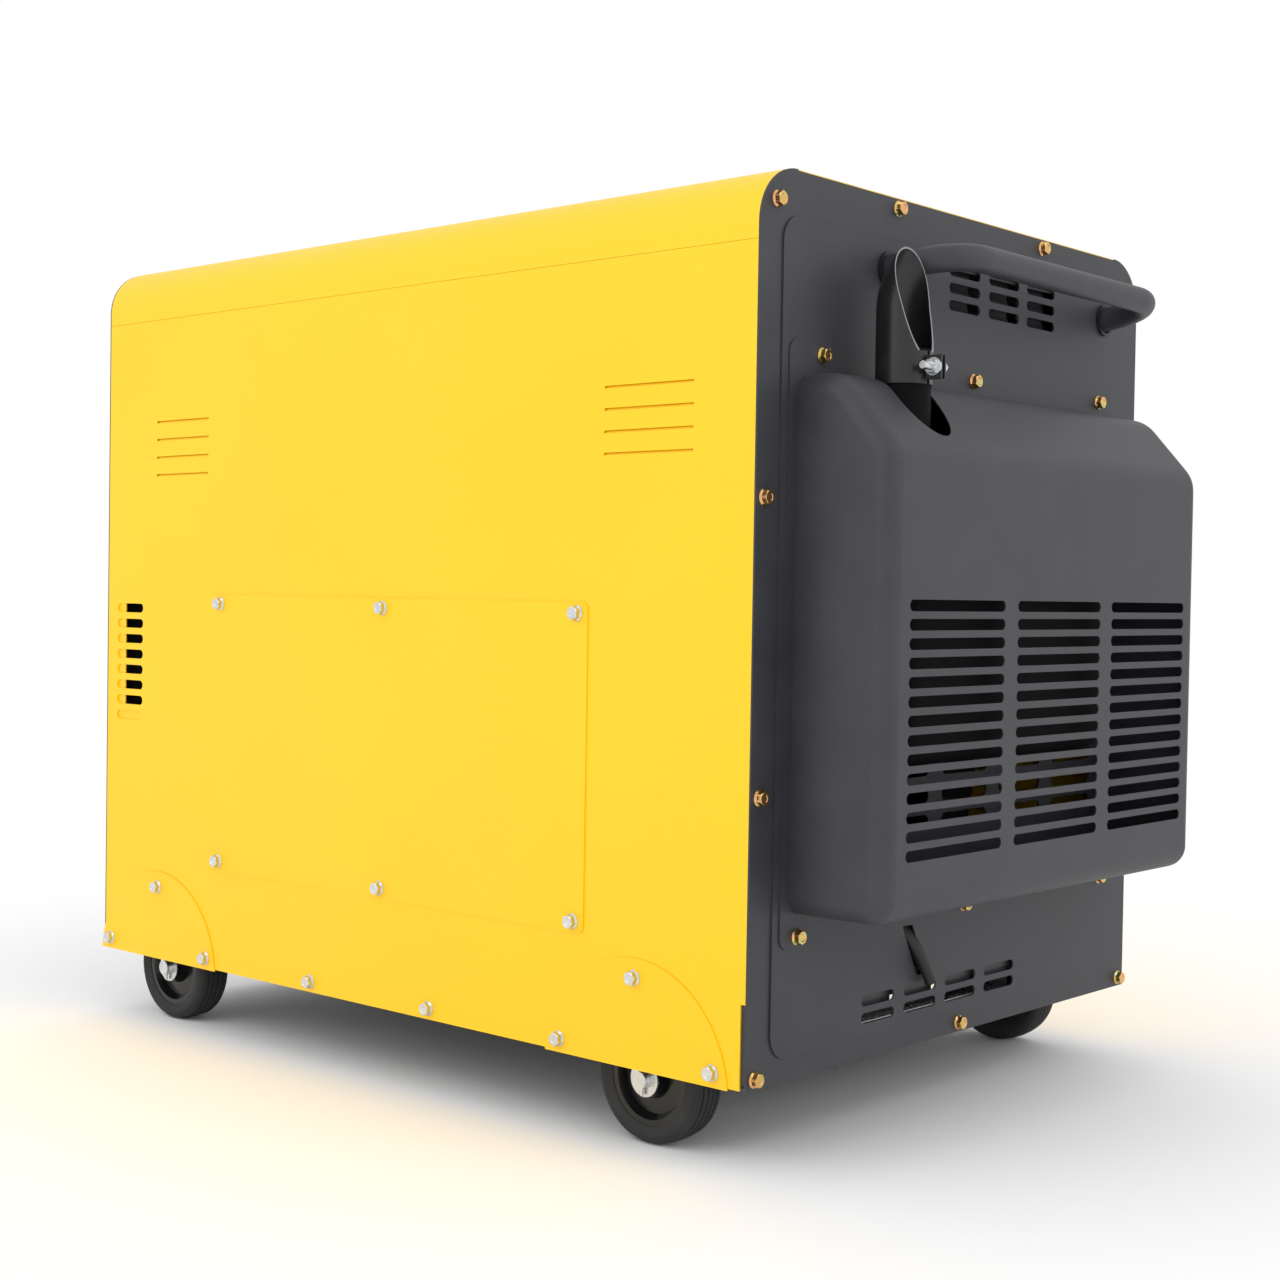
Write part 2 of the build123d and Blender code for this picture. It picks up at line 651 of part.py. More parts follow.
handle_rise = 9.0  # bar's rise above the leg roots


def handle_tube(x_face, outward, y_centre):
    """Carrying handle: one bent tube whose two legs meet the inner frame's beam."""
    x_beam = x_face - outward * beam_inset
    x_deep = x_beam - outward * 6
    x_bar = x_face + outward * handle_reach
    slope = handle_rise / handle_reach
    z_deep = handle_z - slope * (beam_inset + 6)
    y0, y1 = y_centre - handle_span / 2, y_centre + handle_span / 2
    with BuildLine() as route:
        FilletPolyline((x_deep, y0, z_deep), (x_bar, y0, handle_z + handle_rise),
                       (x_bar, y1, handle_z + handle_rise), (x_deep, y1, z_deep), radius=handle_bend)
    with BuildSketch(Plane(origin=route.line @ 0, z_dir=route.line % 0)) as ring:
        Circle(handle_tube_radius)
        Circle(handle_bore_radius, mode=Mode.SUBTRACT)
    sweep(ring.sketch, path=route.line)
    block(x_beam, x_deep - outward * 10, y0 - 30, y1 + 30, z_deep - 30, z_deep + 30, mode=Mode.SUBTRACT)


with BuildPart() as rear_handle:
    handle_tube(rear, 1, handle_y)
rear_handle.part.label = "rear_handle"
export_step(rear_handle.part, "parts/rear_handle.step")

with BuildPart() as front_handle:
    handle_tube(front, -1, 0)
front_handle.part.label = "front_handle"
export_step(front_handle.part, "parts/front_handle.step")

grommet_lip = 14.5
grommet_bore = handle_tube_radius + 0.9
grommet_inner_lip = grommet_neck + 1

with BuildPart() as handle_grommets:
    for x_face, outward, y_centre in ((rear, 1, handle_y), (front, -1, 0)):
        x_out = x_face + outward * embossing
        leg_ys = (y_centre - handle_span / 2, y_centre + handle_span / 2)
        for x_from, reach, radius in ((x_out, 3.0, grommet_lip), (x_out, -skin, grommet_neck),
                                      (x_out - outward * skin, -3.0, grommet_inner_lip)):
            with BuildSketch(Plane.YZ.offset(x_from)):
                with Locations(*[(y, handle_z) for y in leg_ys]):
                    Circle(radius)
            extrude(amount=outward * reach)
        with BuildSketch(Plane.YZ.offset(x_out - outward * 10)):
            with Locations(*[(y, handle_z) for y in leg_ys]):
                Circle(grommet_bore)
        extrude(amount=outward * 20, mode=Mode.SUBTRACT)
handle_grommets.part.label = "handle_grommets"
export_step(handle_grommets.part, "parts/handle_grommets.step")

# ---------------------------------------------------------------- front panel and control panel
control_sheet = 2.0
control_width = 340.0
control_height = 210.0
control_drop = 205.0  # control panel's centre below the roof
control_z = roof - control_drop
control_front = front - embossing - control_sheet
control_face = Plane(origin=(control_front, 0, 0), x_dir=(0, -1, 0), z_dir=(-1, 0, 0))
upper_row = control_z + 45
lower_row = control_z - 42
meter_u = -120.0
lamp_us = (-66.0, -44.0, -22.0)
key_u = 34.0
breaker_u = 112.0
socket_us = (-105.0, -20.0)
terminal_us = (70.0, 112.0)
meter_body = 44.0
lamp_radius = 4.0
lamp_dome = 3.0
key_barrel = 10.5
breaker_body = (28.0, 44.0)
socket_body_radius = 23.0
terminal_post = 3.0
earth_stud_radius = 4.0
earth_u = 130.0
earth_z = base + 330
inlet_slot = (120.0, 8.0)
inlet_low = 190.0


def control_holes(play):
    """Holes for the control panel's fittings, each grown by play."""
    with Locations((meter_u, upper_row)):
        Rectangle(meter_body + 2 * play, meter_body + 2 * play)
    with Locations(*[(u, upper_row) for u in lamp_us]):
        Circle(lamp_radius + play)
    with Locations((key_u, upper_row)):
        Circle(key_barrel + play)
    with Locations((breaker_u, upper_row)):
        Rectangle(breaker_body[0] + 2 * play, breaker_body[1] + 2 * play)
    with Locations(*[(u, lower_row) for u in socket_us]):
        Circle(socket_body_radius + play)
    with Locations(*[(u, lower_row) for u in terminal_us]):
        Circle(terminal_post + play)


with BuildPart() as front_panel:
    end_sheet(front, 1)
    for grow, x_from, depth, mode in ((0, front, embossing, Mode.ADD),
                                      (skin, front + skin, embossing, Mode.SUBTRACT)):
        with BuildSketch(Plane.YZ.offset(x_from)):
            with Locations((0, (field_low + field_high) / 2)):
                RectangleRounded(2 * (field_side - grow), field_high - field_low - 2 * grow, 20 - grow)
        extrude(amount=-depth, mode=mode)
    with BuildSketch(front_face.offset(-skin - 1)):
        with Locations(*end_bolts_yz):
            Circle(bolt_hole_radius)
        with Locations((-handle_span / 2, handle_z), (handle_span / 2, handle_z)):
            Circle(grommet_neck + running_clearance)
        with Locations((0, base + inlet_low)):
            with GridLocations(140, 16, 3, 10):
                SlotOverall(*inlet_slot)
        with Locations((earth_u, earth_z)):
            Circle(earth_stud_radius + 0.3)
        control_holes(1.5)
    extrude(amount=skin + embossing + 2, mode=Mode.SUBTRACT)
    drill_low_side_holes()
front_panel.part.label = "front_panel"
export_step(front_panel.part, "parts/front_panel.step")

with BuildPart() as control_panel:
    with BuildSketch(control_face):
        with Locations((0, control_z)):
            RectangleRounded(control_width, control_height, 12)
    extrude(amount=-control_sheet)
    with BuildSketch(control_face):
        control_holes(running_clearance)
    extrude(amount=-control_sheet, mode=Mode.SUBTRACT)
control_panel.part.label = "control_panel"
export_step(control_panel.part, "parts/control_panel.step")

socket_bezel = (58.0, 66.0, 6.0)
socket_recess_radius = 19.5
socket_recess_depth = 14.0
lid_gap = 0.3
lid_sheet = 3.0
lid_hinge_rise = 29.0
lid_knuckle = 3.0
lid_pin = 1.2
lid_width = 46.0
lid_axis_out = socket_bezel[2] + lid_gap + lid_knuckle
lid_axis_x = control_front - lid_axis_out
lid_axis_z = lower_row + lid_hinge_rise

with BuildPart() as ac_sockets:
    with BuildSketch(control_face):
        with Locations(*[(u, lower_row) for u in socket_us]):
            RectangleRounded(socket_bezel[0], socket_bezel[1], 6)
    extrude(amount=socket_bezel[2])
    with BuildSketch(control_face):
        with Locations(*[(u, lower_row) for u in socket_us]):
            Circle(socket_body_radius)
    extrude(amount=-32)
    with BuildSketch(control_face.offset(socket_bezel[2])):
        with Locations(*[(u, lower_row) for u in socket_us]):
            Circle(socket_recess_radius)
    extrude(amount=-socket_recess_depth, mode=Mode.SUBTRACT)
    with BuildSketch(control_face.offset(socket_bezel[2] - socket_recess_depth)):
        with Locations(*[(u, lower_row) for u in socket_us]):
            with PolarLocations(9.5, 3, 90):
                Circle(2.6)
    extrude(amount=-15, mode=Mode.SUBTRACT)
    for u in socket_us:
        for s in (-1, 1):
            y_lug = -u + s * (lid_width / 2 + 3)
            block(control_front - socket_bezel[2], control_front - lid_axis_out - 2.4, y_lug - 2, y_lug + 2,
                  lid_axis_z - 3.6, lid_axis_z + 3.6)
        with Locations(Location((lid_axis_x, -u, lid_axis_z), (90, 0, 0))):
            Cylinder(lid_pin + running_clearance, lid_width + 20, mode=Mode.SUBTRACT)
ac_sockets.part.label = "ac_sockets"
export_step(ac_sockets.part, "parts/ac_sockets.step")

for side_name, u in (("left", socket_us[0]), ("right", socket_us[1])):
    with BuildPart() as socket_lid:
        with BuildSketch(control_face.offset(socket_bezel[2] + lid_gap)):
            with Locations((u, lower_row - 4.5)):
                RectangleRounded(54, 54, 6)
            with Locations((u, lower_row + lid_hinge_rise - 8)):
                Rectangle(lid_width, 16)
        extrude(amount=lid_sheet)
        with Locations(Location((lid_axis_x, -u, lid_axis_z), (90, 0, 0))):
            Cylinder(lid_knuckle, lid_width)
            Cylinder(lid_pin, lid_width + 9)
    socket_lid.part.label = f"socket_lid_{side_name}"
    export_step(socket_lid.part, f"parts/socket_lid_{side_name}.step")

breaker_bezel = (36.0, 54.0, 4.0)
toggle_slot = (10.0, 26.0, 12.0)
toggle_pivot_out = -2.0
toggle_pivot_x = control_front - toggle_pivot_out
toggle_radius = 4.5
toggle_width = 9.4
toggle_tilt = 22.0

with BuildPart() as circuit_breaker:
    with BuildSketch(control_face):
        with Locations((breaker_u, upper_row)):
            RectangleRounded(breaker_bezel[0], breaker_bezel[1], 3)
    extrude(amount=breaker_bezel[2])
    with BuildSketch(control_face):
        with Locations((breaker_u, upper_row)):
            Rectangle(*breaker_body)
    extrude(amount=-48)
    with BuildSketch(control_face.offset(breaker_bezel[2])):
        with Locations((breaker_u, upper_row)):
            Rectangle(toggle_slot[0], toggle_slot[1])
    extrude(amount=-toggle_slot[2], mode=Mode.SUBTRACT)
    with Locations(Location((toggle_pivot_x, -breaker_u, upper_row), (90, 0, 0))):
        Cylinder(lid_pin + running_clearance, 22, mode=Mode.SUBTRACT)
circuit_breaker.part.label = "circuit_breaker"
export_step(circuit_breaker.part, "parts/circuit_breaker.step")

with BuildPart() as breaker_toggle:
    with Locations(Location((toggle_pivot_x, -breaker_u, upper_row), (90, 0, 0))):
        Cylinder(toggle_radius, toggle_width)
        Cylinder(lid_pin, toggle_width + 10)
    with Locations(Location((toggle_pivot_x, -breaker_u, upper_row), (0, -toggle_tilt, 0))):
        with Locations((-10, 0, 0)):
            Box(20, 8, 5)
breaker_toggle.part.label = "breaker_toggle"
export_step(breaker_toggle.part, "parts/breaker_toggle.step")

meter_bezel = (56.0, 5.0)
meter_window = (46.0, 40.0)
meter_recess = 3.0
meter_lens = 1.0
needle_drop = 14.0
needle_length = 17.0
needle_z = upper_row - needle_drop

with BuildPart() as voltmeter_case:
    with BuildSketch(control_face):
        with Locations((meter_u, upper_row)):
            RectangleRounded(meter_bezel[0], meter_bezel[0], 4)
    extrude(amount=meter_bezel[1])
    with BuildSketch(control_face):
        with Locations((meter_u, upper_row)):
            Rectangle(meter_body, meter_body)
    extrude(amount=-34)
    with BuildSketch(control_face.offset(meter_bezel[1])):
        with Locations((meter_u, upper_row)):
            Rectangle(*meter_window)
    extrude(amount=-meter_recess, mode=Mode.SUBTRACT)
    with Locations(Location((control_front, -meter_u, needle_z), (0, 90, 0))):
        Cylinder(1.0 + running_clearance, 12, mode=Mode.SUBTRACT)
voltmeter_case.part.label = "voltmeter_case"
export_step(voltmeter_case.part, "parts/voltmeter_case.step")

with BuildPart() as voltmeter_lens:
    with BuildSketch(control_face.offset(meter_bezel[1])):
        with Locations((meter_u, upper_row)):
            Rectangle(*meter_window)
    extrude(amount=-meter_lens)
voltmeter_lens.part.label = "voltmeter_lens"
export_step(voltmeter_lens.part, "parts/voltmeter_lens.step")

with BuildPart() as voltmeter_needle:
    with BuildSketch(control_face.offset(2.5)):
        with Locations((meter_u, needle_z)):
            Circle(3)
            with Locations(Location((0, 0, 0), (0, 0, 45))):
                with Locations((0, needle_length / 2)):
                    Rectangle(1.4, needle_length)
    extrude(amount=0.8)
    with BuildSketch(control_face.offset(2.5)):
        with Locations((meter_u, needle_z)):
            Circle(1.0)
    extrude(amount=-6)
voltmeter_needle.part.label = "voltmeter_needle"
export_step(voltmeter_needle.part, "parts/voltmeter_needle.step")

key_plug_radius = 7.0

with BuildPart() as key_switch:
    with BuildSketch(control_face):
        with Locations((key_u, upper_row)):
            Circle(14)
    extrude(amount=4)
    with BuildSketch(control_face):
        with Locations((key_u, upper_row)):
            Circle(key_barrel)
    extrude(amount=-36)
    with BuildSketch(control_face.offset(4)):
        with Locations((key_u, upper_row)):
            Circle(key_plug_radius + running_clearance)
    extrude(amount=-16, mode=Mode.SUBTRACT)
key_switch.part.label = "key_switch"
export_step(key_switch.part, "parts/key_switch.step")

with BuildPart() as ignition_key:
    with BuildSketch(control_face.offset(4.4)):
        with Locations((key_u, upper_row)):
            Circle(key_plug_radius)
    extrude(amount=-16)
    block(control_front - 12, control_front - 4.4, -key_u - 1.2, -key_u + 1.2, upper_row - 4, upper_row + 4)
    with BuildSketch(Plane.XZ.offset(key_u + 1.5)):
        with Locations((control_front - 21, upper_row)):
            Circle(11)
        with Locations((control_front - 25, upper_row)):
            Circle(2.6, mode=Mode.SUBTRACT)
    extrude(amount=-3)
ignition_key.part.label = "ignition_key"
export_step(ignition_key.part, "parts/ignition_key.step")

with BuildPart() as pilot_lamps:
    for u in lamp_us:
        with BuildSketch(control_face):
            with Locations((u, upper_row)):
                Circle(6)
        extrude(amount=2)
        with BuildSketch(control_face):
            with Locations((u, upper_row)):
                Circle(lamp_radius)
        extrude(amount=-22)
        with BuildSketch(control_face):
            with Locations((u, upper_row)):
                Circle(lamp_radius)
        extrude(amount=6)
        fillet(pilot_lamps.edges().group_by(Axis.X)[0], lamp_dome)
pilot_lamps.part.label = "pilot_lamps"
export_step(pilot_lamps.part, "parts/pilot_lamps.step")

with BuildPart() as dc_terminals:
    for radius, reach in ((8.0, 4.0), (terminal_post, 20.0), (terminal_post, -24.0)):
        with BuildSketch(control_face):
            with Locations(*[(u, lower_row) for u in terminal_us]):
                Circle(radius)
        extrude(amount=reach)
    with BuildSketch(control_face.offset(6)):
        with Locations(*[(u, lower_row) for u in terminal_us]):
            RegularPolygon(9, 8)
    extrude(amount=12)
dc_terminals.part.label = "dc_terminals"
export_step(dc_terminals.part, "parts/dc_terminals.step")

earth_nut = 6.5
earth_stud_reach = 27.0
earth_face = front_face.offset(embossing)

with BuildPart() as earth_stud:
    with BuildSketch(earth_face):
        with Locations((earth_u, earth_z)):
            Circle(earth_stud_radius)
    extrude(amount=earth_stud_reach)
    with BuildSketch(earth_face):
        with Locations((earth_u, earth_z)):
            RegularPolygon(6.5, 6, major_radius=False)
    extrude(amount=earth_nut)
    with BuildSketch(earth_face):
        with Locations((earth_u, earth_z)):
            Circle(earth_stud_radius)
    extrude(amount=-skin - 6)
    with BuildSketch(earth_face.offset(-skin)):
        with Locations((earth_u, earth_z)):
            RegularPolygon(6.5, 6, major_radius=False)
    extrude(amount=-5)
earth_stud.part.label = "earth_stud"
export_step(earth_stud.part, "parts/earth_stud.step")

# ---------------------------------------------------------------- flange bolts
with BuildPart(mode=Mode.PRIVATE) as flange_bolt:
    with BuildSketch():
        Circle(bolt_flange_radius)
    extrude(amount=bolt_flange)
    with BuildSketch():
        RegularPolygon(bolt_across_flats / 2, 6, major_radius=False)
    extrude(amount=bolt_flange + bolt_head)
    with BuildSketch():
        Circle(bolt_radius)
    extrude(amount=-bolt_shank)


def side_seat(side, x, out, z):
    """Seat of a bolt on a side face, out from the sheet."""
    y = side * (half_width + out)
    return Location(Plane(origin=(x, y, z), x_dir=(1, 0, 0), z_dir=(0, side, 0)))


with BuildPart() as side_bolts:
    seats = [side_seat(s, x, cover_plate, z) for s in (-1, 1) for x, z in arch_bolts]
    seats += [side_seat(s, x, 0, z) for s in (-1, 1) for x, z in sill_bolts]
    seats += [side_seat(-1, x, cover_plate, z) for x, z in service_bolts]
    with Locations(*seats):
        add(flange_bolt.part)
side_bolts.part.label = "side_bolts"
export_step(side_bolts.part, "parts/side_bolts.step")

with BuildPart() as end_bolts:
    seats = [Location(Plane(origin=(rear, y, z), z_dir=(1, 0, 0))) for y, z in end_bolts_yz]
    seats += [Location(Plane(origin=(front, y, z), z_dir=(-1, 0, 0))) for y, z in end_bolts_yz]
    flange_x = cover_back + cover_sheet
    seats += [Location(Plane(origin=(flange_x, y, z), z_dir=(1, 0, 0))) for y, z in flange_bolts_yz]
    with Locations(*seats):
        add(flange_bolt.part)
end_bolts.part.label = "end_bolts"
export_step(end_bolts.part, "parts/end_bolts.step")

# ---------------------------------------------------------------- exhaust
muffler_x = (rear + 12, rear + 72)
muffler_y = (-200.0, 120.0)
muffler_low = 240.0
muffler_high = 470.0
muffler_sheet = 1.5
muffler_corner = 21.0
pipe_wall = 1.6
pipe_reach_inside = 8.0
pipe_top = base + 560
engine_back = rear - 150
crankcase_length = 180.0
cylinder_x = engine_back - crankcase_length / 2
head_half = 65.0

with BuildPart() as muffler_void:
    block(muffler_x[0] + muffler_sheet, muffler_x[1] - muffler_sheet,
          muffler_y[0] + muffler_sheet, muffler_y[1] - muffler_sheet,
          base + muffler_low + muffler_sheet, base + muffler_high - muffler_sheet)
    fillet(muffler_void.edges(), muffler_corner - 1)

with BuildPart() as muffler:
    block(*muffler_x, *muffler_y, base + muffler_low, base + muffler_high)
    fillet(muffler.edges(), muffler_corner)
    add(muffler_void.part, mode=Mode.SUBTRACT)
    x_port = cylinder_x + head_half
    with BuildSketch(Plane.YZ.offset(x_port)):
        with Locations((0, inlet_z)):
            Circle(inlet_pipe_radius)
    extrude(amount=muffler_x[0] + 3 - x_port)
    with BuildSketch(Plane.YZ.offset(x_port)):
        with Locations((0, inlet_z)):
            Circle(inlet_pipe_radius - pipe_wall)
    extrude(amount=muffler_x[0] + 6 - x_port, mode=Mode.SUBTRACT)
    # the outlet pipe is welded into the top of the muffler, and reaches a little way inside it
    pipe_foot = base + muffler_high - pipe_reach_inside
    for radius, mode in ((exhaust_pipe_radius, Mode.ADD), (exhaust_pipe_radius - pipe_wall, Mode.SUBTRACT)):
        with BuildSketch(Plane.XY.offset(pipe_foot)) as pipe_section:
            with Locations((exhaust_x, exhaust_y)):
                Circle(radius)
        extrude(pipe_section.sketch, amount=pipe_top - pipe_foot, mode=mode)
muffler.part.label = "muffler"
export_step(muffler.part, "parts/muffler.step")

elbow_inner = exhaust_pipe_radius + running_clearance
elbow_outer = elbow_inner + 1.2
elbow_low = base + 533
elbow_turn = base + 590
elbow_bend = 41.0
elbow_bend_angle = 56.0
ear_reach = 36.0
clamp_x = exhaust_x + 29.5
clamp_z = base + 545.5

mouth_sill = 558.0  # mouth's lower edge above the canopy's
mouth_tip = (0.5, 640.0)
mouth_sag = (8.5, 599.0)

with BuildPart() as exhaust_elbow:
    with BuildLine() as elbow_route:
        foot = (exhaust_x, exhaust_y, elbow_low)
        turn = (exhaust_x, exhaust_y, elbow_turn)
        Line(foot, turn)
        bend_plane = Plane(origin=turn, x_dir=(1, 0, 0), z_dir=(0, -1, 0))
        end = bend_plane.from_local_coords((elbow_bend * (1 - cos(radians(elbow_bend_angle))),
                                            elbow_bend * sin(radians(elbow_bend_angle)), 0))
        TangentArc(turn, end, tangent=(0, 0, 1))
    for radius, mode in ((elbow_outer, Mode.ADD), (elbow_inner, Mode.SUBTRACT)):
        with BuildSketch(Plane.XY.offset(elbow_low)):
            with Locations((exhaust_x, exhaust_y)):
                Circle(radius)
        sweep(path=elbow_route.line, mode=mode)
    for s in (-1, 1):
        block(exhaust_x + elbow_inner + 0.6, exhaust_x + ear_reach, exhaust_y + s * 1.6, exhaust_y + s * 3.4,
              clamp_z - 9, clamp_z + 9)
    block(exhaust_x + 5, exhaust_x + elbow_outer + 2, exhaust_y - 1.6, exhaust_y + 1.6, elbow_low - 1,
          base + mouth_sill + 5, mode=Mode.SUBTRACT)
    with BuildSketch(Plane.XZ.offset(-exhaust_y - elbow_outer - 5)):
        with BuildLine():
            sill = (exhaust_x + 19.6, base + mouth_sill)
            sag = (exhaust_x + mouth_sag[0], base + mouth_sag[1])
            tip = (exhaust_x + mouth_tip[0], base + mouth_tip[1] + 6)
            ThreePointArc(sill, sag, tip)
            Polyline(tip, (exhaust_x + 80, tip[1]), (exhaust_x + 80, sill[1]), sill)
        make_face()
    extrude(amount=2 * elbow_outer + 10, mode=Mode.SUBTRACT)
    with BuildSketch(Plane.XZ.offset(-exhaust_y - 10)):
        with Locations((clamp_x, clamp_z)):
            Circle(bolt_hole_radius)
    extrude(amount=20, mode=Mode.SUBTRACT)
exhaust_elbow.part.label = "exhaust_elbow"
export_step(exhaust_elbow.part, "parts/exhaust_elbow.step")

with BuildPart() as elbow_clamp_bolt:
    for y_from, reach, radius, sides in ((-19, 24, bolt_radius, 0), (3.4, 4.4, 5.6, 6),
                                         (-3.4, -1.4, 7.0, 0), (-4.8, -5.0, 5.6, 6)):
        with BuildSketch(Plane(origin=(clamp_x, exhaust_y + y_from, clamp_z), x_dir=(1, 0, 0),
                               z_dir=(0, 1, 0))):
            if sides:
                RegularPolygon(radius, sides)
            else:
                Circle(radius)
        extrude(amount=reach)
elbow_clamp_bolt.part.label = "elbow_clamp_bolt"
export_step(elbow_clamp_bolt.part, "parts/elbow_clamp_bolt.step")

# ---------------------------------------------------------------- fuel tank and cap
tank_x = (front + 60, front + 420)
tank_half_width = 200.0
tank_sheet = 3.0
tank_corner = 22.0
tank_low = base + rail_low + rail_height + 3
tank_high = roof - 25
neck_wall = 2.0
neck_top = roof + 4
cap_radius = 36.0
cap_height = 24.0

with BuildPart() as tank_void:
    block(tank_x[0] + tank_sheet, tank_x[1] - tank_sheet, -tank_half_width + tank_sheet,
          tank_half_width - tank_sheet, tank_low + tank_sheet, tank_high - tank_sheet)
    fillet(tank_void.edges(), tank_corner - 2)

with BuildPart() as fuel_tank:
    block(*tank_x, -tank_half_width, tank_half_width, tank_low, tank_high)
    fillet(fuel_tank.edges(), tank_corner)
    with BuildSketch(Plane.XY.offset(tank_high - 5)):
        with Locations((filler_x, 0)):
            Circle(neck_radius)
    extrude(amount=neck_top - tank_high + 5)
    add(tank_void.part, mode=Mode.SUBTRACT)
    with BuildSketch(Plane.XY.offset(tank_high - 10)):
        with Locations((filler_x, 0)):
            Circle(neck_radius - neck_wall)
    extrude(amount=neck_top - tank_high + 20, mode=Mode.SUBTRACT)
fuel_tank.part.label = "fuel_tank"
export_step(fuel_tank.part, "parts/fuel_tank.step")

with BuildPart() as fuel_cap:
    with BuildSketch(Plane.XY.offset(roof + 0.6)):
        with Locations((filler_x, 0)):
            Circle(cap_radius)
            with PolarLocations(cap_radius + 2, 12):
                Circle(4.5, mode=Mode.SUBTRACT)
    extrude(amount=cap_height)
    with BuildSketch(Plane.XY.offset(roof)):
        with Locations((filler_x, 0)):
            Circle(neck_radius + 0.4)
    extrude(amount=neck_top - roof + 0.4, mode=Mode.SUBTRACT)
fuel_cap.part.label = "fuel_cap"
export_step(fuel_cap.part, "parts/fuel_cap.step")

# ---------------------------------------------------------------- engine
mount_top = base + 75
mount_radius = 16.0
crank_z = base + 215
crankcase_half_width = 125.0
crankcase_top = base + 310
crankcase_corner = 16.0
casting = 8.0
crank_radius = 20.0
crank_web_radius = 58.0
bore_radius = 43.0
barrel_height = 100.0
fin_sheet = 3.0
fin_count = 7
fin_half = 64.0
drain_boss_radius = 8.0
drain_spigot = 10.0
hose_start = (engine_back + drain_spigot, -104.0, base + 116.0)

with BuildPart() as crankcase:
    block(engine_back - crankcase_length, engine_back, -crankcase_half_width, crankcase_half_width,
          mount_top, crankcase_top)
    fillet(crankcase.edges(), crankcase_corner)
    block(engine_back - crankcase_length + casting, engine_back - casting, -crankcase_half_width + casting,
          crankcase_half_width - casting, mount_top + casting, crankcase_top - casting, mode=Mode.SUBTRACT)
    with Locations((cylinder_x, 0, crankcase_top)):
        Cylinder(bore_radius, 3 * casting, mode=Mode.SUBTRACT)
    with BuildSketch(Plane.YZ.offset(engine_back - crankcase_length)):
        with Locations((0, crank_z)):
            Circle(crank_radius + running_clearance)
    extrude(amount=crankcase_length, mode=Mode.SUBTRACT)
    with BuildSketch(Plane.YZ.offset(engine_back - casting / 2)):
        with Locations(hose_start[1:]):
            Circle(drain_boss_radius)
    extrude(amount=casting / 2 + drain_spigot)
    for x in (engine_back - 40, engine_back - crankcase_length + 40):
        for s in (-1, 1):
            with Locations((x, s * 90, mount_top)):
                Cylinder(4.2, 3 * casting, mode=Mode.SUBTRACT)
crankcase.part.label = "crankcase"
export_step(crankcase.part, "parts/crankcase.step")

with BuildPart() as cylinder_barrel:
    with BuildSketch(Plane.XY.offset(crankcase_top)):
        with Locations((cylinder_x, 0)):
            Circle(bore_radius + 9)
    extrude(amount=barrel_height)
    fin_pitch = barrel_height / fin_count
    for fin in range(fin_count):
        with BuildSketch(Plane.XY.offset(crankcase_top + (fin + 0.4) * fin_pitch)):
            with Locations((cylinder_x, 0)):
                RectangleRounded(2 * fin_half, 2 * fin_half, 14)
        extrude(amount=fin_sheet)
    with BuildSketch(Plane.XY.offset(crankcase_top)):
        with Locations((cylinder_x, 0)):
            Circle(bore_radius)
    extrude(amount=barrel_height, mode=Mode.SUBTRACT)
cylinder_barrel.part.label = "cylinder_barrel"
export_step(cylinder_barrel.part, "parts/cylinder_barrel.step")

head_low = crankcase_top + barrel_height
head_height = 50.0
head_corner = 12.0
rocker_height = 38.0

with BuildPart() as cylinder_head:
    block(cylinder_x - head_half, cylinder_x + head_half, -75, 75, head_low, head_low + head_height)
    fillet(cylinder_head.edges().filter_by(Axis.Z), head_corner)
    block(cylinder_x - 50, cylinder_x + 50, -60, 60, head_low + head_height,
          head_low + head_height + rocker_height)
    fillet(cylinder_head.edges().group_by(Axis.Z)[-1], head_corner)
    with BuildSketch(Plane.YZ.offset(cylinder_x + head_half)):
        with Locations((0, inlet_z)):
            Circle(inlet_pipe_radius - pipe_wall)
    extrude(amount=-25, mode=Mode.SUBTRACT)
cylinder_head.part.label = "cylinder_head"
export_step(cylinder_head.part, "parts/cylinder_head.step")

filter_radius = 52.0
filter_y = -165.0
filter_corner = 8.0

with BuildPart() as air_filter:
    with BuildSketch(Plane.YZ.offset(cylinder_x - 60)):
        with Locations((filter_y, inlet_z)):
            Circle(filter_radius)
    extrude(amount=120)
    fillet(air_filter.edges(), filter_corner)
    with BuildSketch(Plane.XZ.offset(75)):
        with Locations((cylinder_x, inlet_z)):
            Circle(18)
    extrude(amount=-filter_y - 75)
air_filter.part.label = "air_filter"
export_step(air_filter.part, "parts/air_filter.step")

shroud_radius = 132.0
shroud_sheet = 2.0
shroud_depth = 78.0
shroud_eye = 86.0

with BuildPart() as fan_shroud:
    with BuildSketch(Plane.YZ.offset(engine_back)):
        with Locations((0, crank_z)):
            Circle(shroud_radius)
            Circle(shroud_radius - shroud_sheet, mode=Mode.SUBTRACT)
    extrude(amount=shroud_depth)
    with BuildSketch(Plane.YZ.offset(engine_back + shroud_depth - shroud_sheet)):
        with Locations((0, crank_z)):
            Circle(shroud_radius)
            Circle(shroud_eye, mode=Mode.SUBTRACT)
    extrude(amount=shroud_sheet)
fan_shroud.part.label = "fan_shroud"
export_step(fan_shroud.part, "parts/fan_shroud.step")

flywheel_radius = 112.0
blade_count = 12

